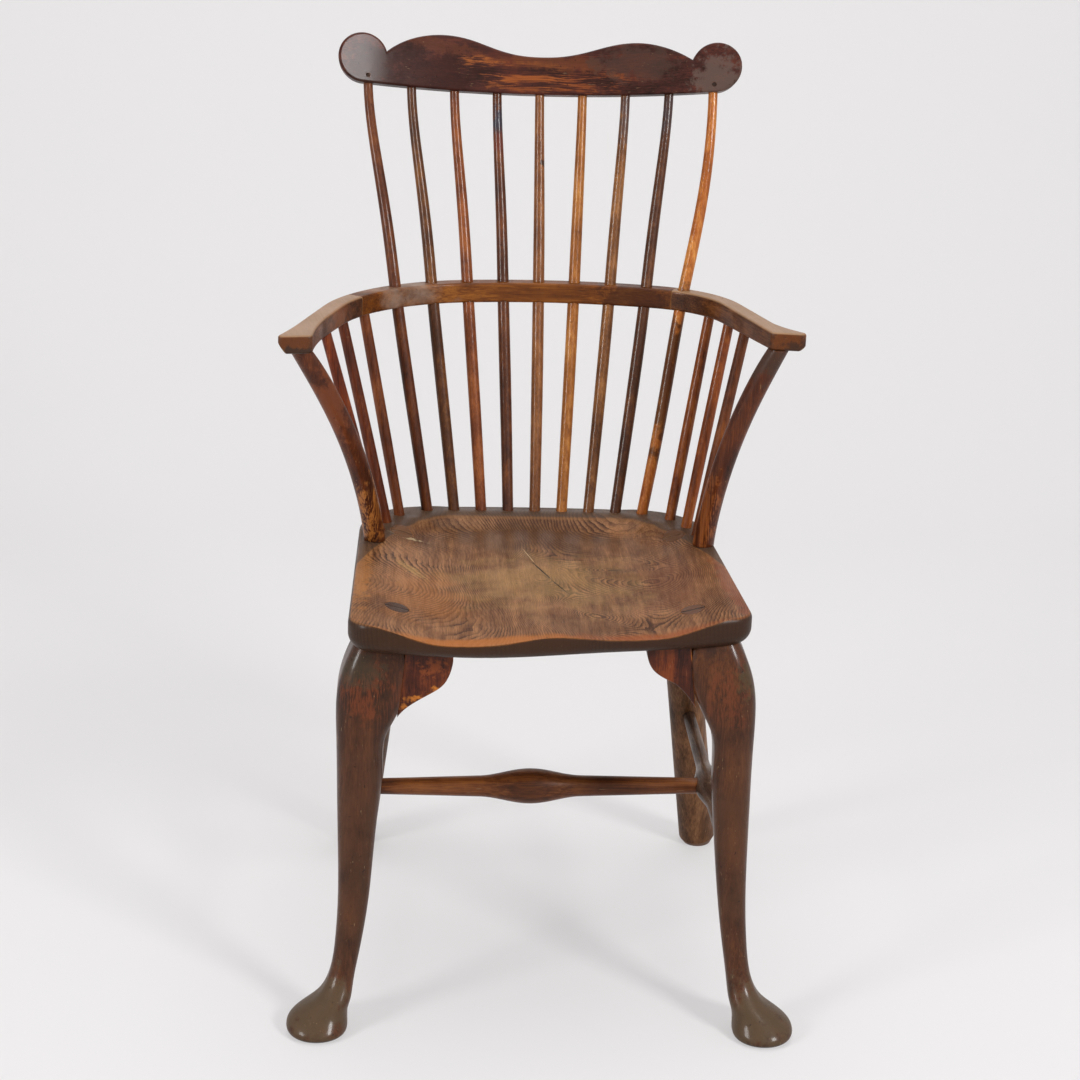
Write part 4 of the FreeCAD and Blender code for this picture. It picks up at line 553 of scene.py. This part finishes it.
rearLegLook = {
    "dark": "#38210f", "mid": "#5f3e26", "light": "#80593a", "grainLength": 110.0, "grainWidth": 1.8,
    "roughness": (0.38, 0.56), "coat": 0.1, "scratches": 0.5,
    "wear": [
        # tenon ends in the seat
        {"at": (-152, 76, 450), "radii": (50, 60, 26), "colour": "#6a4830", "amount": 1.0},
        {"at": (168, 76, 450), "radii": (50, 60, 26), "colour": "#62412b", "amount": 1.0},
    ],
}
stretcherLook = {
    "dark": "#321809", "mid": "#592f15", "light": "#7e4b25", "grainTurn": (0, 90, 0), "grainLength": 80.0,
    "roughness": (0.32, 0.5), "coat": 0.2, "rubbedColour": "#8a5a36",
}
sideStretcherLook = {**stretcherLook, "dark": "#2a1c15", "mid": "#4a3427", "light": "#6d5340",
                     "grainTurn": (90, 0, 0)}
# dry and dull, a plain brown
finishNode(oldWood("wornBeechRearLegs", rearLegLook), "rear_leg_left", "rear_leg_right")
# warm brown with streaks that run round the swelling
finishNode(oldWood("turnedAshStretcher", stretcherLook), "cross_stretcher")
# greyer, where dust and shoes reach
finishNode(oldWood("turnedAshSideStretchers", sideStretcherLook),
           "side_stretcher_left", "side_stretcher_right")

pegLook = {"dark": "#1c110b", "mid": "#2f1d14", "light": "#4a3021", "grainWidth": 0.8, "grainLength": 2.0,
           "patchSize": 10.0, "coat": 0.1, "edgeWidth": 0.6, "rubbed": 0.0}
rearWedgeLook = {**pegLook, "dark": "#4f331e", "mid": "#5f412a", "light": "#6e4e34"}
# nearly black dots, because end grain drinks the polish
finishNode(oldWood("oakEndGrain", pegLook), "comb_peg_left", "comb_peg_right", "front_leg_wedge_left",
           "front_leg_wedge_right")
# a shade from the tenons round them
finishNode(oldWood("waxedOakWedges", rearWedgeLook), "rear_leg_wedge_left", "rear_leg_wedge_right")
print("legs and stretchers finished")


def seenShare(tree):
    # 1 for the camera's rays and for those that gloss or glass sends on, so that all see one background
    path = addNode(tree, "ShaderNodeLightPath").outputs
    share = addNode(tree, "ShaderNodeMath", {
        "operation": "MAXIMUM", 0: path["Is Camera Ray"], 1: path["Is Glossy Ray"]})
    return addNode(tree, "ShaderNodeMath", {"operation": "MAXIMUM", 0: share, 1: path["Is Transmission Ray"]})


# Room: a pale seamless paper sweep.
room = {
    "paper": "#e8e6e6",
    "evenness": 0.55,        # how far the paper is seen in its own colour, whatever light falls on it
    "halfWidth": 4.0, "front": -3.4, "back": 2.6, "height": 4.0,      # m
    "bend": 1.2, "bendSteps": 24,
}
bpy.ops.mesh.primitive_plane_add(size=2.0, location=(0, (room["front"] + room["back"]) / 2, 0))
paper = bpy.context.object
paper.name = "paperSweep"
paper.scale = (room["halfWidth"], (room["back"] - room["front"]) / 2, 1)
bpy.ops.object.transform_apply(location=True, rotation=False, scale=True)
bpy.ops.object.mode_set(mode="EDIT")
bpy.ops.mesh.select_all(action="DESELECT")
bpy.ops.object.mode_set(mode="OBJECT")
for edge in paper.data.edges:        # the back edge, found with a little room for rounding
    edge.select = all(paper.data.vertices[v].co.y > room["back"] - 0.01 for v in edge.vertices)
bpy.ops.object.mode_set(mode="EDIT")
bpy.ops.mesh.select_mode(type="EDGE")
bpy.ops.mesh.extrude_region_move(TRANSFORM_OT_translate={"value": (0, 0, room["height"])})
bpy.ops.object.mode_set(mode="OBJECT")
bend = paper.modifiers.new("bend", "BEVEL")
bend.width, bend.segments, bend.limit_method = room["bend"], room["bendSteps"], "ANGLE"
bpy.ops.object.modifier_apply(modifier="bend")
bpy.ops.object.shade_smooth()

paperMaterial = bpy.data.materials.new("seamlessPaper")      # matt, even and slightly warm
paperMaterial.use_nodes = True
paperTree = paperMaterial.node_tree
paperTree.nodes.clear()
paperLit = addNode(paperTree, "ShaderNodeBsdfDiffuse", {"Color": linearColour(room["paper"])})
paperSeen = addNode(paperTree, "ShaderNodeEmission", {"Color": linearColour(room["paper"])})
paperShare = addNode(paperTree, "ShaderNodeMath", {**times, 0: seenShare(paperTree), 1: room["evenness"]})
paperShader = addNode(paperTree, "ShaderNodeMixShader", {0: paperShare, 1: paperLit, 2: paperSeen})
addNode(paperTree, "ShaderNodeOutputMaterial", {"Surface": paperShader})
paper.data.materials.append(paperMaterial)
print("room built")

# Light: soft boxes at both sides in front, the right one stronger, one above, and a dim even room.
softBoxes = [
    {"name": "keyBox", "at": (2.3, -2.5, 2.3), "aim": (0, 0, 0.5), "size": 0.8, "watts": 88},
    {"name": "fillBox", "at": (-2.7, -1.9, 1.7), "aim": (0, 0, 0.5), "size": 0.9, "watts": 56},
    {"name": "topBox", "at": (0.1, 0.5, 3.2), "aim": (0, 0.1, 0.4), "size": 2.4, "watts": 40},
]
for box in softBoxes:
    bpy.ops.object.light_add(type="AREA", location=box["at"])
    lamp = bpy.context.object
    lamp.name = box["name"]
    lamp.data.size = box["size"]
    lamp.data.energy = box["watts"]
    lamp.rotation_euler = (Vector(box["aim"]) - Vector(box["at"])).to_track_quat("-Z", "Y").to_euler()

surroundings = {"light": "#f4f5f8", "strength": 0.32, "seen": "#e9e7e7"}
world = bpy.data.worlds.new("paleRoom")
scene.world = world
world.use_nodes = True
worldTree = world.node_tree
worldTree.nodes.clear()
roomLight = addNode(worldTree, "ShaderNodeBackground", {
    "Color": linearColour(surroundings["light"]), "Strength": surroundings["strength"]})
roomSeen = addNode(worldTree, "ShaderNodeBackground", {"Color": linearColour(surroundings["seen"])})
roomMix = addNode(worldTree, "ShaderNodeMixShader", {0: seenShare(worldTree), 1: roomLight, 2: roomSeen})
addNode(worldTree, "ShaderNodeOutputWorld", {"Surface": roomMix})
print("lights placed")

# Camera: fitted to the photograph, at a standing eye's height and slightly left of the middle.
view = {
    "at": (-0.155217, -2.511985, 1.34),              # m
    "down": 19.0, "turn": 3.585, "roll": 2.088,      # degrees
    "lens": 77.38, "sensor": 36.0,                   # mm
}
turn, down, roll = (math.radians(view[key]) for key in ("turn", "down", "roll"))
ahead = Vector((math.sin(turn) * math.cos(down), math.cos(turn) * math.cos(down), -math.sin(down)))
right = Vector((math.cos(turn), -math.sin(turn), 0))
up = right.cross(ahead)
imageRight = right * math.cos(roll) + up * math.sin(roll)
imageUp = up * math.cos(roll) - right * math.sin(roll)
lensData = bpy.data.cameras.new("photoView")
lensData.lens = view["lens"]
lensData.sensor_width = view["sensor"]
camera = bpy.data.objects.new("photoView", lensData)
scene.collection.objects.link(camera)
camera.matrix_world = (Matrix.Translation(view["at"])
                       @ Matrix((imageRight, imageUp, -ahead)).transposed().to_4x4())
scene.camera = camera
scene.view_settings.view_transform = "Standard"
print("camera set")
